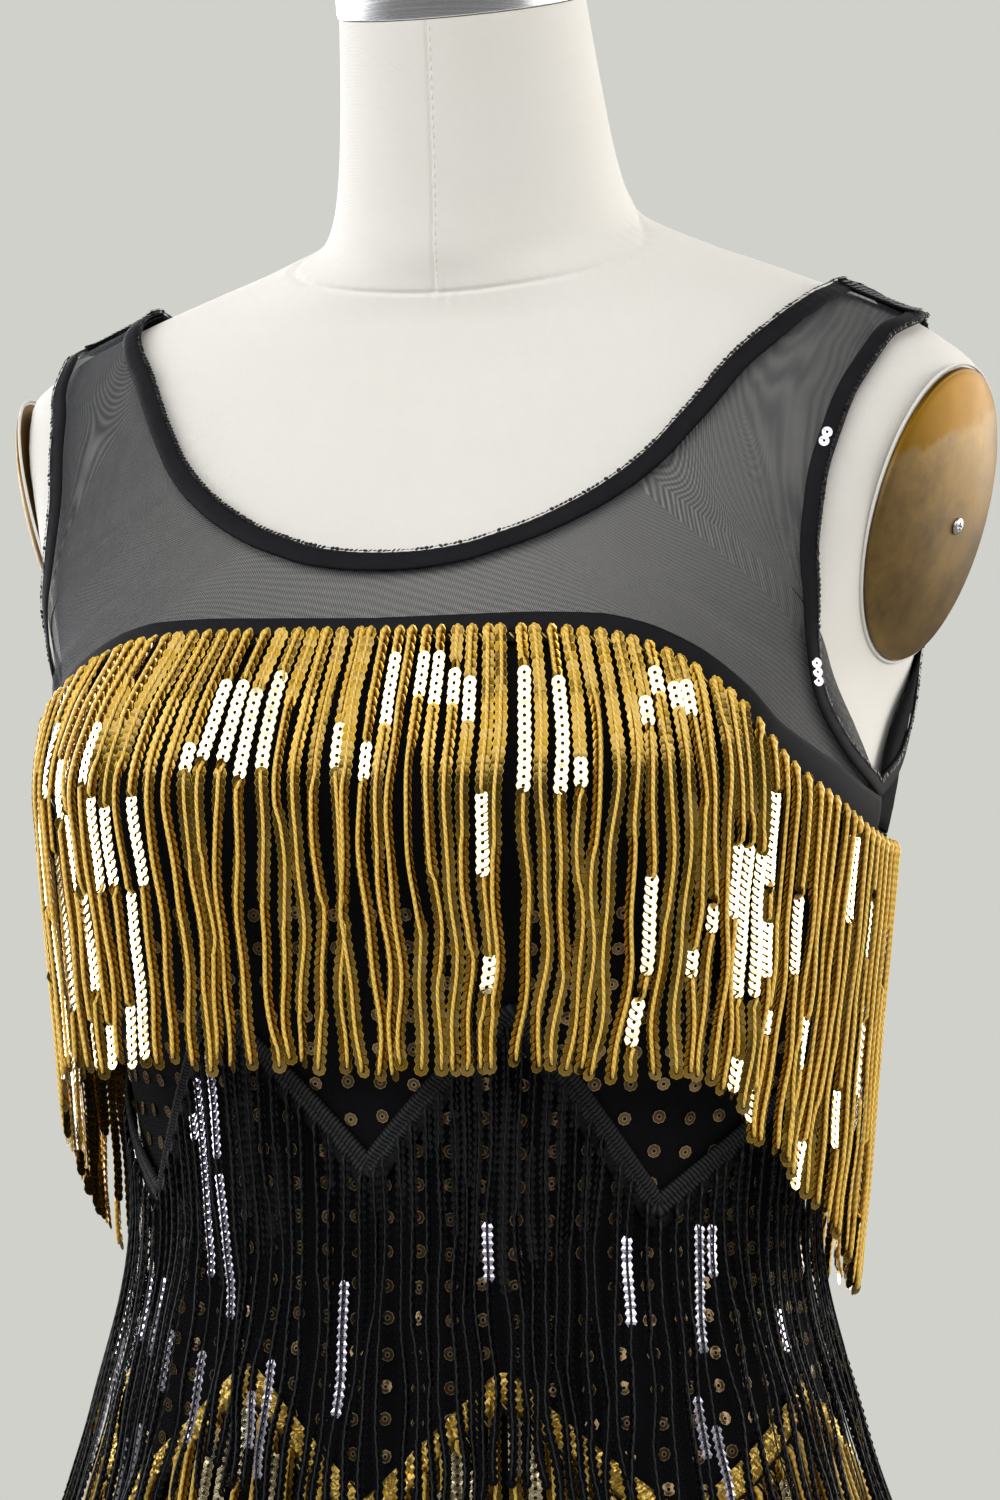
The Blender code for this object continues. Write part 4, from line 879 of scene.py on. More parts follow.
# the band part and the armhole part of a yoke meet at a corner, so each is made finer by itself
frontArmRows, backArmRows = finer(frontArmSpokes, 60), finer(backArmSpokes, 60)
frontRows = whole(np.concatenate([finer(bandRows(frontBandSpokes), 60), frontArmRows]), 0)
backRows = whole(np.concatenate([backArmRows, finer(bandRows(backBandSpokes), 50)]), 180)
yoke = yokeGrid(frontRows, 30, yokeCreases)
frontYoke = addCloth("frontYokeNet", yoke, cloth["netWall"], yokeMesh, "yoke_mesh", "front_yoke",
                     lengthUv(yoke))
backYoke = addCloth("backYokeKnit", yokeGrid(backRows, 34, backCreases), cloth["knitWall"], knit,
                    "black_knit", "back_yoke")
frontPanel = buildPanel("frontPanelKnit", -87.9, 87.9, "front_panel")
backPanel = buildPanel("backPanelKnit", 88.1, 271.9, "back_panel")
print("cloth made")

# way: the side of the edge that the tape lies on; lap: how far it reaches past the edge
neckBinding = {"name": "neck", "width": 0.0084, "out": 0.0024, "way": -1, "lap": 0.0006, "wrinkle": 0.00012,
               "picotAside": 0.0006, "picotTilt": 25}
armBinding = {"name": "arm", "width": 0.0074, "out": 0.0026, "way": 1, "lap": 0.0016, "wrinkle": 0.0,
              "picotAside": -0.0008, "picotTilt": -25}
bindings = {"thickness": 0.0011, "spacing": 0.0016, "picotPitch": 0.0019, "wrinkleStep": 2.1}
picot = {"radius": 0.0010, "sides": 6, "dome": 0.0003, "out": 0.0012, "unevenTilt": 14, "unevenAhead": 0.22}
# rows: level and number of the sequins sewn along the front of the left binding
strays = {"radius": 0.0020, "sides": 12, "dome": 0.0001, "rows": ((1.332, 2), (1.248, 3)), "pitch": 0.0036,
          "inward": 0.42, "out": 0.0007}
bandTape = {"out": 0.0032, "thickness": 0.0010, "lap": 0.0006, "crown": 0.0004,
            "widthTurns": ((0, 0.0065), (30, 0.0075), (50, 0.0105), (70, 0.0135), (88, 0.0150))}
shoulder = {"radius": 0.0013, "sides": 6, "dome": 0.0002, "pitch": 0.0018, "turn": 90, "halfWidth": 0.0040,
            "out": 0.0027, "climb": 0.0014, "wall": 0.0008, "end": 0.0008, "stations": 24, "rows": 5,
            "rowReach": 0.86, "gap": 0.0002, "tipUp": 0.18, "uneven": 0.06}
upperZigzag = ((0, 1.0660), (29, 1.1250), (56, 1.0520), (86, 1.1050), (118, 1.0500),
               (149, 1.1150), (180, 1.0560))
lowerZigzag = ((0, 0.9380), (28, 0.9880), (56, 0.9350), (84, 0.9800), (116, 0.9330),
               (148, 0.9820), (180, 0.9360))
gimpBraid = {"width": 0.0092, "out": 0.0042, "thickness": 0.0018, "groove": 0.0010, "spacing": 0.0006,
             "ribPitch": 0.0016, "ribRise": 0.0004, "ribSlant": 1.6}
foilBraid = {"width": 0.0100, "out": 0.0044, "thickness": 0.0018, "groove": 0.0, "spacing": 0.0009,
             "crumple": 0.0009, "edgeCrumple": 0.3}


def surfacePath(turns, levels, out, spacing):
    # a closed line over the surface, with stations a set distance apart, and its normals
    around = 360 * np.round((turns[-1] - turns[0]) / 360)
    turns, levels = np.append(turns, turns[0] + around), np.append(levels, levels[0])
    length = runLengths(onBody(turns, levels, out))
    at = np.linspace(0, length[-1], max(4, int(round(length[-1] / spacing))), endpoint=False)
    point, normal, _, _ = bodyFrame(np.interp(at, length, turns), np.interp(at, length, levels))
    return point + normal * out, normal


def roundedStrip(width, thickness, shift=0.0):
    # cross-section of a soft tape: flat below, rounded above, anticlockwise
    upper = [(shift + a * width / 2, thickness * (1 - abs(a) ** 3.2) + 0.0001)
             for a in np.linspace(-1, 1, 9)]
    return [(shift + width / 2 * 0.9, 0.0), (shift - width / 2 * 0.9, 0.0)] + upper


def buildBinding(b, turns, levels, node, sideName=""):
    # a tape along an edge of the cloth, and a row of tiny loops along the tape's own edge
    path, normal = surfacePath(turns, levels, b["out"], bindings["spacing"])
    profile = roundedStrip(b["width"], bindings["thickness"], b["way"] * (b["width"] / 2 - b["lap"]))
    wave = np.sin(np.arange(len(path)) * bindings["wrinkleStep"])
    ripple = b["wrinkle"] * wave[:, None] * np.array([0, 0] + [1] * 9)[None]
    addSwept(b["name"] + "BindingTape" + sideName, path, normal, profile, trim, "black_trim", node, ripple)
    edge, out = surfacePath(turns, levels, b["out"], bindings["picotPitch"])
    ahead, count = aheadOf(edge), len(edge)
    aside = unit(np.cross(out, ahead))
    lean = np.radians(b["picotTilt"] + random.normal(0, picot["unevenTilt"], count))[:, None]
    swerve = random.normal(0, picot["unevenAhead"], count)[:, None]
    facing = unit(out * np.cos(lean) + aside * np.sin(lean) + ahead * swerve)
    centres = edge + aside * b["picotAside"] + out * picot["out"]
    addSequins(b["name"] + "Picot" + sideName, centres, facing, ahead, picot, trimBead, "black_trim")
    if sideName == "Left":
        sewStrays(path, normal)


def sewStrays(path, normal):
    # a few sequins along the front of one binding, in two short rows, turned towards the front; their tint
    # of 0.95 gives them the painted flash colour of the black sequins
    ahead = unit(np.gradient(path, axis=0))
    inward = unit(np.cross(normal, ahead))
    front = np.flatnonzero(path[:, 1] < -0.01)
    centres, facings, ups = [], [], []
    for level, count in strays["rows"]:
        at = front[np.abs(path[front, 2] - level).argmin()]
        for k in range(count):
            centres.append(path[at] + inward[at] * armBinding["width"] * strays["inward"]
                           + ahead[at] * (k - (count - 1) / 2) * strays["pitch"]
                           + normal[at] * (bindings["thickness"] + strays["out"]))
            facings.append(unit(normal[at] * (0.5, 0.5, 0) + np.array((0.2, -0.5, 0.15))))
            ups.append(ahead[at])
    addSequins("bindingSequins", np.array(centres), np.array(facings), np.array(ups), strays, blackSequin,
               "black_trim", tint=np.full(len(centres), 0.95))


def buildBand():
    # the smooth tape over the bust seam widens towards the sides
    turns = np.linspace(-87.6, 87.6, 200)
    width = readLine(bandTape["widthTurns"], turns, smooth=True)
    share = np.linspace(0, 1, 8)[None]
    levels = bandLevel(turns)[:, None] - bandTape["lap"] + width[:, None] * share
    grid = onBody(turns[:, None], levels, bandTape["out"] + bandTape["crown"] * np.sin(share * math.pi))
    addCloth("bustBandTape", grid, bandTape["thickness"], trim, "black_trim", "bust_band")


def buildShoulder(sideName, side):
    # rows of tiny overlapping sequins over the shoulder seam, on a narrow tape
    s, stations = shoulder, shoulder["stations"]
    _, neck, _, edge = frontArmSpokes[-1]
    levels = np.linspace(edge + s["end"], neck - s["end"], stations)
    turns = np.full(stations, s["turn"] * side, float)
    point = bodyFrame(turns, levels)[0]
    perDegree = np.linalg.norm(onBody(turns + 1, levels, 0.0) - onBody(turns - 1, levels, 0.0), axis=1) / 2
    halfTurn = s["halfWidth"] / perDegree[:, None]
    climb = s["out"] + s["climb"] * (np.abs(np.linspace(-1, 1, stations)) ** 4)
    grid = onBody(turns[:, None] + halfTurn * np.linspace(-1, 1, 9), levels[:, None], climb[:, None])
    grid = np.ascontiguousarray(np.swapaxes(grid[::-side, ::-side], 0, 1))
    addCloth("shoulderTapeKnit" + sideName, grid, s["wall"], trim, "black_trim",
             "shoulder_tape_" + sideName.lower())
    rows = np.linspace(-s["rowReach"], s["rowReach"], s["rows"])
    at = np.linspace(0, stations - 1, int(np.linalg.norm(point[-1] - point[0]) / s["pitch"]))
    pick = lambda values: np.interp(at, np.arange(stations), values)[:, None]
    turnsAt, levelsAt = pick(turns) + pick(halfTurn[:, 0]) * rows, pick(levels) + 0 * rows
    place, normal, _, up = bodyFrame(turnsAt.ravel(), levelsAt.ravel())
    centres = place + normal * (pick(climb) + s["wall"] + s["gap"] + 0 * rows).reshape(-1, 1)
    facing = unit(normal + up * s["tipUp"] + random.normal(0, s["uneven"], centres.shape))
    addSequins("shoulderSequins" + sideName, centres, facing, up, s, trimBead, "black_trim")


def zigzagPath(line, braid):
    # the zigzag with its corners rounded over a few degrees
    turns = np.arange(0, 360, 0.4)
    levels = readLine(line, turns)
    window = np.hanning(9)[1:-1]
    window /= window.sum()
    levels = np.convolve(np.concatenate([levels[-3:], levels, levels[:3]]), window, mode="valid")
    return surfacePath(turns, levels, braid["out"], braid["spacing"])


def braidProfile(braid, across):
    upper = [(a * braid["width"] / 2, braid["thickness"] * (1 - abs(a) ** 4)
              - braid["groove"] * math.exp(-((a / 0.16) ** 2)) + 0.0001) for a in across]
    return [(braid["width"] * 0.46, 0.0), (-braid["width"] * 0.46, 0.0)] + upper


def buildGimp():
    # two humps with a groove between them, crossed by slanting ribs
    b, across = gimpBraid, np.linspace(-1, 1, 11)
    path, normal = zigzagPath(upperZigzag, b)
    along = np.arange(len(path)) * b["spacing"] / b["ribPitch"]
    slant = np.concatenate([[0, 0], np.abs(across) * b["ribSlant"]])
    raised = np.array([0, 0] + [1] * len(across))
    ripple = b["ribRise"] * np.sin(2 * math.pi * (along[:, None] - slant[None])) * raised[None]
    addSwept("upperGimpBraid", path, normal, braidProfile(b, across), gimp, "black_braid",
             "zigzag_braid_upper", ripple)


def buildFoilBraid():
    path, normal = zigzagPath(lowerZigzag, foilBraid)
    profile = braidProfile(foilBraid, np.linspace(-1, 1, 9))
    crumple = random.normal(0, 1, (len(path), len(profile)))
    crumple = (crumple + np.roll(crumple, 1, axis=0) + np.roll(crumple, 1, axis=1)) / 1.7
    crumple[:, :2] = 0
    crumple[:, (2, -1)] *= foilBraid["edgeCrumple"]
    piece = addSwept("lowerFoilBraid", path, normal, profile, foil, "gold_braid", "zigzag_braid_lower",
                     foilBraid["crumple"] * 0.5 * crumple)
    piece.data.polygons.foreach_set("use_smooth", np.zeros(len(piece.data.polygons), bool))


buildBinding(neckBinding, *np.concatenate([frontRows[:, :2], backRows[1:-1, :2]]).T, "neck_binding")
for sideName, side in sides:
    armhole = np.concatenate([frontArmRows[:, 2:], backArmRows[1:-1, 2:]])[::side] * (side, 1)
    buildBinding(armBinding, *armhole.T, "armhole_binding_" + sideName.lower(), sideName)
buildBand()
for sideName, side in sides:
    buildShoulder(sideName, side)
buildGimp()
buildFoilBraid()
print("bindings and braids made")

# unevenTurn, in degrees, and unevenLevel: how far one strays from the grid; tip: how far it leans
knitSequins = {"radius": 0.0026, "sides": 8, "dome": 0.00012, "across": 0.0123, "down": 0.0124,
               "low": 0.80, "high": 1.168, "waist": 1.06, "girthOut": 0.0023, "out": 0.0029,
               "unevenTurn": 0.12, "unevenLevel": 0.0004, "tip": 0.10, "tipUp": -0.02}


def evenTurns(line, count, out, smooth=False):
    # turns an equal distance apart along the level line round the body
    turns = np.linspace(0, 360, 2881)
    length = runLengths(onBody(turns, readLine(line, turns, smooth), out)[:, :2])
    return np.interp((np.arange(count) + 0.5) / count * length[-1], length, turns)


def buildKnitSequins():
    # a squarish grid of single sequins; each column keeps its turn, set from the waist's girth
    k = knitSequins
    waistLine = onBody(np.linspace(0, 360, 721), np.full(721, k["waist"]), k["girthOut"])
    girth = np.linalg.norm(np.diff(waistLine, axis=0), axis=1).sum()
    turns = evenTurns(((0, k["waist"]), (180, k["waist"])), int(round(girth / k["across"])), k["out"])
    turns, levels = np.meshgrid(turns, np.arange(k["low"], k["high"], k["down"]), indexing="ij")
    turns = (turns + random.normal(0, k["unevenTurn"], turns.shape)).ravel()
    levels = (levels + random.normal(0, k["unevenLevel"], levels.shape)).ravel()
    point, normal, around, up = bodyFrame(turns, levels)
    facing = unit(normal + around * random.normal(0, k["tip"], (len(turns), 1))
                  + up * random.normal(k["tipUp"], k["tip"], (len(turns), 1)))
    addSequins("knitSequins", point + normal * k["out"], facing, up, k, clearSequin, "black_knit")


# lengths: turn and length. lean, wave and twist: how a strand strays. tilt: how far a sequin faces down.
# turnsOver: 1 where the sequins of a bright run are turned over to show their backs, which take the painted
# flash colour. rise: how far a bright run faces up, in degrees.
# chance: the share of the strands behind with a bright run. flashes: turn, and millimetres down from the
# root and along the strand, of each bright run in front, placed one by one.
goldFringe = {"slot": "gold_sequin", "out": 0.0070, "lean": 0.0050, "wave": 0.0014, "twist": 24, "tilt": 8,
              "uneven": 0.022, "turnsOver": 1, "rise": 9.5, "chance": 0.45, "radius": 0.0027,
              "dome": 0.00008, "threadOut": 0.0012, "threadRadius": 0.00078}
blackFringe = {"slot": "black_sequin", "out": 0.0072, "twist": 24, "tilt": 7, "uneven": 0.018,
               "turnsOver": 0, "rise": 9.0, "chance": 0.10, "radius": 0.0022, "sides": 6, "dome": 0.00008,
               "threadOut": 0.0009, "threadRadius": 0.00044}
goldUpper = {
    **goldFringe, "name": "goldUpper", "seed": 11, "node": "gold_fringe_upper", "line": bandLine,
    "smooth": True, "below": 0.0010, "count": 156, "perStrand": 50, "sides": 8, "lift": 0.012,
    "ragged": 0.010,
    "lengths": ((0, 0.158), (43, 0.156), (58, 0.137), (72, 0.133), (84, 0.145), (94, 0.165), (180, 0.160)),
    "flashes": (
        (-80, 40, 60), (-75, 90, 40), (-71, 20, 60), (-67, 119, 18), (-65, 50, 40), (-63, 40, 60),
        (-58, 95, 40), (-56, 20, 60), (-53, 30, 50), (-51, 90, 50), (-49, 18, 30), (-41.5, 90, 40),
        (-40.1, 30, 22), (-47.7, 71, 60), (-46, 38, 25), (-43.9, 137, 22), (-43.9, 60, 30),
        (-40.1, 140, 19), (-38, 57, 35), (-35.7, 61, 32), (-35.7, 135, 26), (-33.5, 94, 62),
        (-31, 59, 32), (-23.6, 39, 11), (-21.4, 15, 33), (-18.4, 16, 33), (-15.6, 19, 36),
        (-12.7, 15, 36), (-0.7, 33, 17), (4.5, 41, 14), (7.4, 8, 27), (12.8, 8, 16), (15.5, 8, 20),
        (18.5, 12, 16), (21, 16, 19), (23.7, 59, 29), (23.7, 117, 14), (28.9, 12, 47), (33.4, 16, 43),
        (35.5, 45, 13), (44.1, 19, 13), (46.1, 7, 10), (44.1, 84, 35), (44.1, 126, 20), (48.2, 10, 10),
        (49.7, 7, 14), (49.7, 102, 10), (51.3, 82, 13), (55.1, 52, 28), (56.8, 48, 57), (56.8, 125, 14),
        (59, 45, 54), (61.1, 17, 36), (61.1, 63, 22), (61.1, 124, 12), (63, 90, 10), (67, 40, 30),
        (75.4, 120, 18), (79.3, 3, 34), (72, 80, 20), (82, 95, 22), (85, 20, 24), (88, 66, 30),
        (91, 110, 30), (94, 30, 22), (97.7, 61, 20), (100, 20, 30))}
goldLower = {
    **goldFringe, "name": "goldLower", "seed": 12, "node": "gold_fringe_lower", "line": lowerZigzag,
    "smooth": False, "below": 0.0060, "count": 124, "perStrand": 46, "sides": 7, "lift": 0.007,
    "ragged": 0.012, "lengths": ((0, 0.148), (180, 0.148)),
    "flashes": (
        (-45, 10, 30), (-33, 2, 30), (-30, 6, 40), (-27, 0, 30), (-18, 4, 24), (-5, 20, 20), (6, 12, 30),
        (10, 5, 20), (16, 10, 30), (20, 2, 22), (23, 12, 30), (28, 0, 22), (33, 5, 26), (45, 2, 24),
        (58, 10, 30), (63, 2, 22), (66, 10, 30), (74, 4, 30))}
blackUpper = {
    **blackFringe, "name": "blackUpper", "seed": 13, "node": "black_fringe_upper", "line": upperZigzag,
    "smooth": False, "below": 0.0050, "count": 142, "perStrand": 53, "lift": 0.010, "ragged": 0.030,
    "lean": 0.0060, "wave": 0.0016, "lengths": ((0, 0.160), (180, 0.160)),
    "flashes": (
        (-62, 60, 50), (-57, 20, 30), (-54, 90, 50), (-50, 40, 30), (-47, 100, 40), (-43.4, 77, 26),
        (-38.5, 9, 12), (-36.2, 3, 75), (-36.2, 106, 36), (-31.3, 6, 40), (-31.3, 50, 56),
        (-22, 119, 23), (-17.5, 102, 46), (-4.1, 43, 50), (26.6, 63, 23), (51.4, 17, 36), (60.9, 70, 26),
        (63.5, 13, 46), (63.5, 84, 32), (65.3, 15, 22), (79.1, 72, 16))}
blackLower = {
    **blackFringe, "name": "blackLower", "seed": 14, "node": "black_fringe_lower",
    "line": ((0, 0.788), (180, 0.788)), "smooth": False, "below": 0.0020, "count": 122, "perStrand": 60,
    "lift": 0.007, "ragged": 0.008, "lean": 0.0070, "wave": 0.0018, "lengths": ((0, 0.246), (180, 0.246)),
    "flashes": ()}
# lean: the slope at which a hanging strand leans back to the body; start: its top below the seam; drifts:
# how many neighbours sway alike, and how much; waves and ripples: how many along it; a twist holds for
# a run, then changes over its last changeShare
hang = {"lean": 0.09, "start": 0.0012, "unevenTurn": 0.22, "waves": 1.6, "ripples": 3.7, "loose": 0.0012,
        "twistRun": (0.030, 0.065), "twistMost": 1.7, "changeFrom": 0.86, "changeShare": 0.14,
        "drifts": ((3.5, 0.7), (0.9, 0.5))}
# behind: the turns beyond those listed one by one; tints: the lowest and highest in bright runs and
# elsewhere
# a tint near 1 turns a sequin's face to its look's painted flash colour, near white for black sequins and
# pale gold for gold ones, so the tints of the bright runs paint their flash; the low dull tints are a slight
# tone change
brightRun = {"behind": (102, 288), "lengths": (0.014, 0.045), "fade": 0.002, "untwist": 0.85,
             "unevenRise": 0.012, "tints": (0.85, 1.0), "dullTints": (0.0, 0.12)}
mostUp = {"height": 0.05, "kept": 0.3}  # how far up a dark sequin may face before it is turned back
threadForm = {"above": 0.0030, "firstShare": 1.5, "lastShare": 0.6}
rootTape = {"width": 0.0046, "thickness": 0.0010, "down": 0.0022, "in": 0.0026, "spacing": 0.0036,
            "stitchIn": 0.0014, "stitchRadius": 0.00034}


def neighbourly(count, spread):
    # random numbers round the body, each like its neighbours, of unit size
    noise = random.normal(0, 1, count)
    reach = np.arange(-12, 13)
    weight = np.exp(-((reach / spread) ** 2) / 2)
    smooth = sum(w * np.roll(noise, r) for w, r in zip(weight, reach))
    return smooth / np.sqrt((weight**2).sum())


def hangStrands(spec):
    # a strand rests on the cloth, or hangs from above with a small lean inwards: its reach from the middle
    # is the largest of the cloth's reach so far, less the lean; sideways it sways like its neighbours
    count, ragged, wave = spec["count"], spec["ragged"], spec["wave"]
    near = lambda spread: neighbourly(count, spread)[:, None]
    turns = evenTurns(spec["line"], count, spec["out"], spec["smooth"])
    turns = turns + random.normal(0, hang["unevenTurn"], count)
    root = readLine(spec["line"], turns, spec["smooth"]) - spec["below"] - hang["start"]
    uneven = random.normal(0, ragged, count).clip(-2 * ragged, 1.6 * ragged)
    lengths = readLine(spec["lengths"], turns) * (1 + uneven)
    share = np.linspace(0, 1, spec["perStrand"])[None]
    drop = share * lengths[:, None]
    levels = root[:, None] - drop
    drift = sum(near(spread) * amount for spread, amount in hang["drifts"])
    phase = near(2.0) * 2.0
    aside = spec["lean"] * drift * share**1.3 \
        + wave * share**0.6 * np.sin(2 * math.pi * (share * hang["waves"] + 0.2 * drift) + phase) \
        + wave * 0.5 * share * np.sin(2 * math.pi * share * hang["ripples"] + near(0.6) * 3)
    reachAt = np.linalg.norm(onBody(turns, root, spec["out"])[:, :2], axis=1)[:, None]
    outward = spec["out"] + spec["lift"] * share + np.abs(near(0.7)) * hang["loose"] * share
    point, normal, _, _ = bodyFrame(turns[:, None] + np.degrees(aside / reachAt), levels)
    rest = point + normal * outward[..., None]
    reach = np.linalg.norm(rest[..., :2], axis=-1)
    heading = rest[..., :2] / reach[..., None]
    reach = np.maximum.accumulate(reach + hang["lean"] * drop, axis=1) - hang["lean"] * drop
    path = np.concatenate([heading * reach[..., None], levels[..., None]], axis=-1)
    up = unit(-np.gradient(path, axis=1))
    out = squareTo(normal, up)
    return {"path": path, "up": up, "out": out, "side": np.cross(up, out), "drop": drop, "turns": turns,
            "lengths": lengths, "twist": steadyTwist(drop, count) * spec["twist"]}


def steadyTwist(drop, count):
    # the turn about a strand's own line: even runs with quick changes between them
    place = drop / random.uniform(*hang["twistRun"], (count, 1)) + random.random((count, 1))
    step = np.floor(place).astype(int)
    values = random.normal(0, 1, (count, step.max() + 2)).clip(-hang["twistMost"], hang["twistMost"])
    rows = np.arange(count)[:, None]
    blend = np.clip((place - step - hang["changeFrom"]) / hang["changeShare"], 0, 1)
    change = values[rows, step + 1] - values[rows, step]
    return values[rows, step] + change * blend * blend * (3 - 2 * blend)


def turnedRuns(spec, strands):
    # 1 along the bright runs: those in front are listed one by one, the rest are placed by chance
    turns, drop, lengths = strands["turns"], strands["drop"], strands["lengths"]
    total = np.zeros_like(drop)
    runs = [(foldTurn(turns - turn).argmin(), start / 1000, run / 1000)
            for turn, start, run in spec["flashes"]]
    first, last = brightRun["behind"] if runs else (0, 360)
    order = neighbourly(len(turns), 0.9)
    few = order < np.quantile(order, spec["chance"])
    behind = np.flatnonzero((turns > first) & (turns < last) & few)
    starts = random.random(len(behind)) ** 1.5 * 0.8 * lengths[behind]
    sizes = random.uniform(*brightRun["lengths"], len(behind))
    for strand, start, run in runs + list(zip(behind, starts, sizes)):
        fromStart, toEnd = drop[strand] - start, start + run - drop[strand]
        inside = np.clip(fromStart / brightRun["fade"], 0, 1) * np.clip(toEnd / brightRun["fade"], 0, 1)
        total[strand] = np.maximum(total[strand], inside)
    return total


def sequinFacings(spec, strands, runs, facing, lateral):
    # most sequins face down a little, so that they stay dark; those of a bright run face up to the lamps
    tilt = (math.radians(spec["tilt"]) + random.normal(0, spec["uneven"], runs.shape))[..., None]
    swing = random.normal(0, spec["uneven"], runs.shape)[..., None]
    down = unit(facing * np.cos(tilt) - strands["up"] * np.sin(tilt) + lateral * swing)
    height, most = down[..., 2], mostUp["height"]
    down[..., 2] = np.where(height > most, most + mostUp["kept"] * (height - most), height)
    swerve = np.radians(strands["twist"] * 0.15)[..., None]
    level = unit(strands["out"] * (1, 1, 0) + strands["side"] * swerve)
    rise = math.tan(math.radians(spec["rise"])) + random.normal(0, brightRun["unevenRise"], runs.shape)
    return np.where(runs[..., None] > 0.5, unit(level + np.array((0, 0, 1.0)) * rise[..., None]), down)


def buildFringe(spec, sequinLook, threadLook):
    random.bit_generator.state = np.random.default_rng(spec["seed"]).bit_generator.state
    strands = hangStrands(spec)
    runs = turnedRuns(spec, strands)
    path, up, out, side = (strands[key] for key in ("path", "up", "out", "side"))
    twist = np.radians(strands["twist"] * (1 - runs * brightRun["untwist"]))
    angle = twist + math.pi * runs * spec["turnsOver"]
    cos, sin = np.cos(angle)[..., None], np.sin(angle)[..., None]
    facing, lateral = out * cos + side * sin, side * cos - out * sin
    facings = sequinFacings(spec, strands, runs, facing, lateral)
    # sequins of a bright run get the painted flash tint; the gold ones elsewhere get a slight tone change
    # and the black ones none
    bright = random.uniform(*brightRun["tints"], runs.shape)
    dull = random.uniform(*brightRun["dullTints"], runs.shape)
    tint = np.where(runs > 0.5, bright, dull * spec["turnsOver"])
    flat = lambda values: values.reshape(-1, 3)
    addSequins(spec["name"] + "Sequins", flat(path), flat(facings), flat(up), spec, sequinLook, spec["slot"],
               spec["node"], tint.ravel())
    start = path[:, :1] + up[:, :1] * threadForm["above"]
    line = np.concatenate([start, path + facing * spec["threadOut"]], axis=1)
    grow = lambda values: np.concatenate([values[:, :1], values], axis=1)
    radii = np.full(line.shape[:2], spec["threadRadius"])
    radii[:, 1] *= threadForm["firstShare"]
    radii[:, -1] *= threadForm["lastShare"]
    addThreads(spec["name"] + "Threads", line, grow(facing), grow(lateral), radii, 4, threadLook,
               spec["slot"])
    buildRootTape(spec, strands["turns"])


def buildRootTape(spec, strandTurns):
    # the narrow tape that carries a fringe, with a stitch between the tops of each two gold strands
    t = rootTape
    rootLevel = lambda turns: readLine(spec["line"], turns, spec["smooth"]) - spec["below"] - t["down"]
    turns = np.arange(0, 360, 0.75)
    path, normal = surfacePath(turns, rootLevel(turns), spec["out"] - t["in"], t["spacing"])
    profile = roundedStrip(t["width"], t["thickness"])
    addSwept(spec["name"] + "Tape", path, normal, profile, trim, "black_trim")
    if spec["slot"] != "gold_sequin":
        return
    between = (strandTurns + np.roll(strandTurns, -1)) / 2
    between[-1] = (strandTurns[-1] + strandTurns[0] + 360) / 2
    point, normal, around, up = bodyFrame(between, rootLevel(between))
    share = np.linspace(-1, 1, 4)[None, :, None]
    centre = point + normal * (spec["out"] - t["stitchIn"])
    line = centre[:, None] - up[:, None] * share * 0.0011 + around[:, None] * share * 0.0008
    same = lambda values: np.broadcast_to(values[:, None], line.shape)
    addThreads(spec["name"] + "Stitches", line, same(normal), same(np.cross(up, normal)),
               np.full(line.shape[:2], t["stitchRadius"]), 4, goldThread, spec["slot"])


buildKnitSequins()
buildFringe(goldUpper, goldSequin, goldThread)
print("upper gold fringe made")
buildFringe(blackUpper, blackSequin, blackThread)
buildFringe(goldLower, goldSequin, goldThread)
buildFringe(blackLower, blackSequin, blackThread)
print("fringes made")

floor = {"radius": 3.2, "level": -0.0005, "colour": (0.50, 0.495, 0.475), "dark": (0.48, 0.475, 0.455),
         "light": (0.52, 0.515, 0.495)}
backdrop = (0.631, 0.638, 0.592)
roomLight = (0.10, 0.10, 0.10)
lampMiddle = Vector((0.0, 0.0, 1.12))
# name, turn round the object, elevation, distance, width, height, power, colour
lamps = (("keyLamp", 2, 50, 2.4, 3.0, 1.5, 28, (1.0, 0.99, 0.97)),
         ("fillLamp", -36, 19, 2.6, 2.0, 0.75, 15, (1.0, 1.0, 1.0)),
         ("frontLamp", 15, 20, 2.7, 2.7, 0.7, 13.5, (1.0, 1.0, 1.0)),
         ("sideFill", 61, 19, 2.6, 1.8, 0.75, 9.6, (1.0, 0.99, 0.97)),
         ("rightFill", 96, 17, 2.4, 1.2, 0.8, 10, (1.0, 0.98, 0.95)),
         ("rightLamp", 138, 14, 2.2, 2.0, 1.1, 40, (1.0, 0.96, 0.90)),
         ("leftFill", -79, 17, 2.4, 1.75, 0.8, 23, (0.97, 0.97, 1.0)),
         ("leftStrip", -112, 15, 2.2, 1.1, 1.0, 26, (0.97, 0.97, 1.0)),
         ("leftLamp", -148, 8, 2.2, 0.9, 1.5, 44, (1.0, 0.98, 0.95)),
         ("backLamp", 180, 40, 2.6, 1.4, 1.0, 10, (1.0, 1.0, 1.0)))
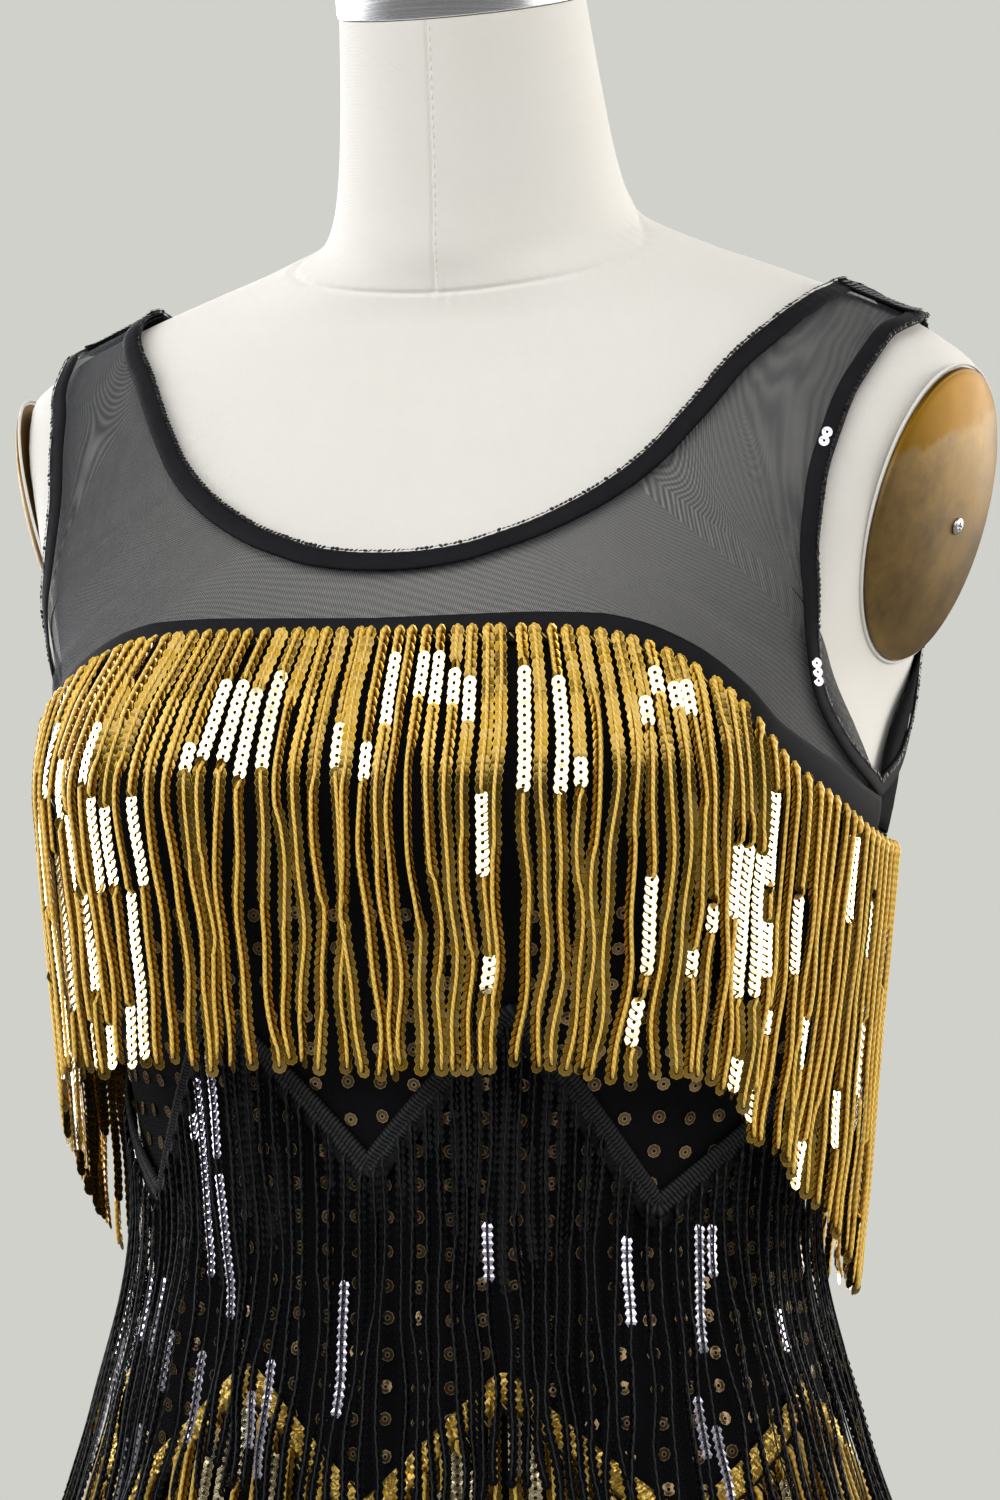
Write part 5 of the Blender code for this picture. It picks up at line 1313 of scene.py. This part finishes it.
cameraFacts = {"turn": 22, "distance": 2.0, "height": 1.164, "lens": 124.8, "shift": (0.0147, 0.1)}


def linked(name, data):
    item = bpy.data.objects.new(name, data)
    bpy.context.scene.collection.objects.link(item)
    return item


def makeFloor():
    mesh = bpy.data.meshes.new("floor")
    points = ovalRing(floor["radius"], floor["radius"], circle(96)) + (0, 0, floor["level"])
    mesh.from_pydata(points.tolist(), [], [list(range(96))])
    material, tree, shader = newMaterial("paleFloor", floor["colour"], 0.7)
    noise = noiseAt(tree, objectPlace(tree), Scale=3.0, Detail=3.0)
    drive(tree, shader, Base_Color=mixColour(tree, noise, floor["dark"], floor["light"]))
    mesh.materials.append(material)
    linked("floor", mesh)


def makeLight():
    # the camera sees a plain backdrop, and the object is lit by a dim room and a ring of lamps
    world = bpy.data.worlds.new("studio")
    world.use_nodes = True
    tree = world.node_tree
    seen = addNode(tree, "LightPath").outputs["Is Camera Ray"]
    drive(tree, tree.nodes["Background"], Color=mixColour(tree, seen, roomLight, backdrop))
    bpy.context.scene.world = world
    bpy.context.scene.view_settings.view_transform = "Standard"
    for name, turn, elevation, distance, width, height, power, colour in lamps:
        lamp = bpy.data.lights.new(name, "AREA")
        lamp.shape, lamp.size, lamp.size_y = "RECTANGLE", width, height
        lamp.energy, lamp.color = power, colour
        t, e = math.radians(turn), math.radians(elevation)
        away = Vector((math.sin(t) * math.cos(e), -math.cos(t) * math.cos(e), math.sin(e)))
        item = linked(name, lamp)
        item.location = lampMiddle + away * distance
        item.rotation_euler = away.to_track_quat("Z", "Y").to_euler()


def makeCamera():
    c, turn = cameraFacts, math.radians(cameraFacts["turn"])
    data = bpy.data.cameras.new("camera")
    data.lens, data.sensor_width, data.clip_start = c["lens"], 36, 0.05
    data.shift_x, data.shift_y = c["shift"]
    camera = linked("camera", data)
    camera.location = (c["distance"] * math.sin(turn), -c["distance"] * math.cos(turn), c["height"])
    camera.rotation_euler = (math.radians(90), 0, turn)
    bpy.context.scene.camera = camera


makeFloor()
makeLight()
makeCamera()
print("floor, lamps and camera set")
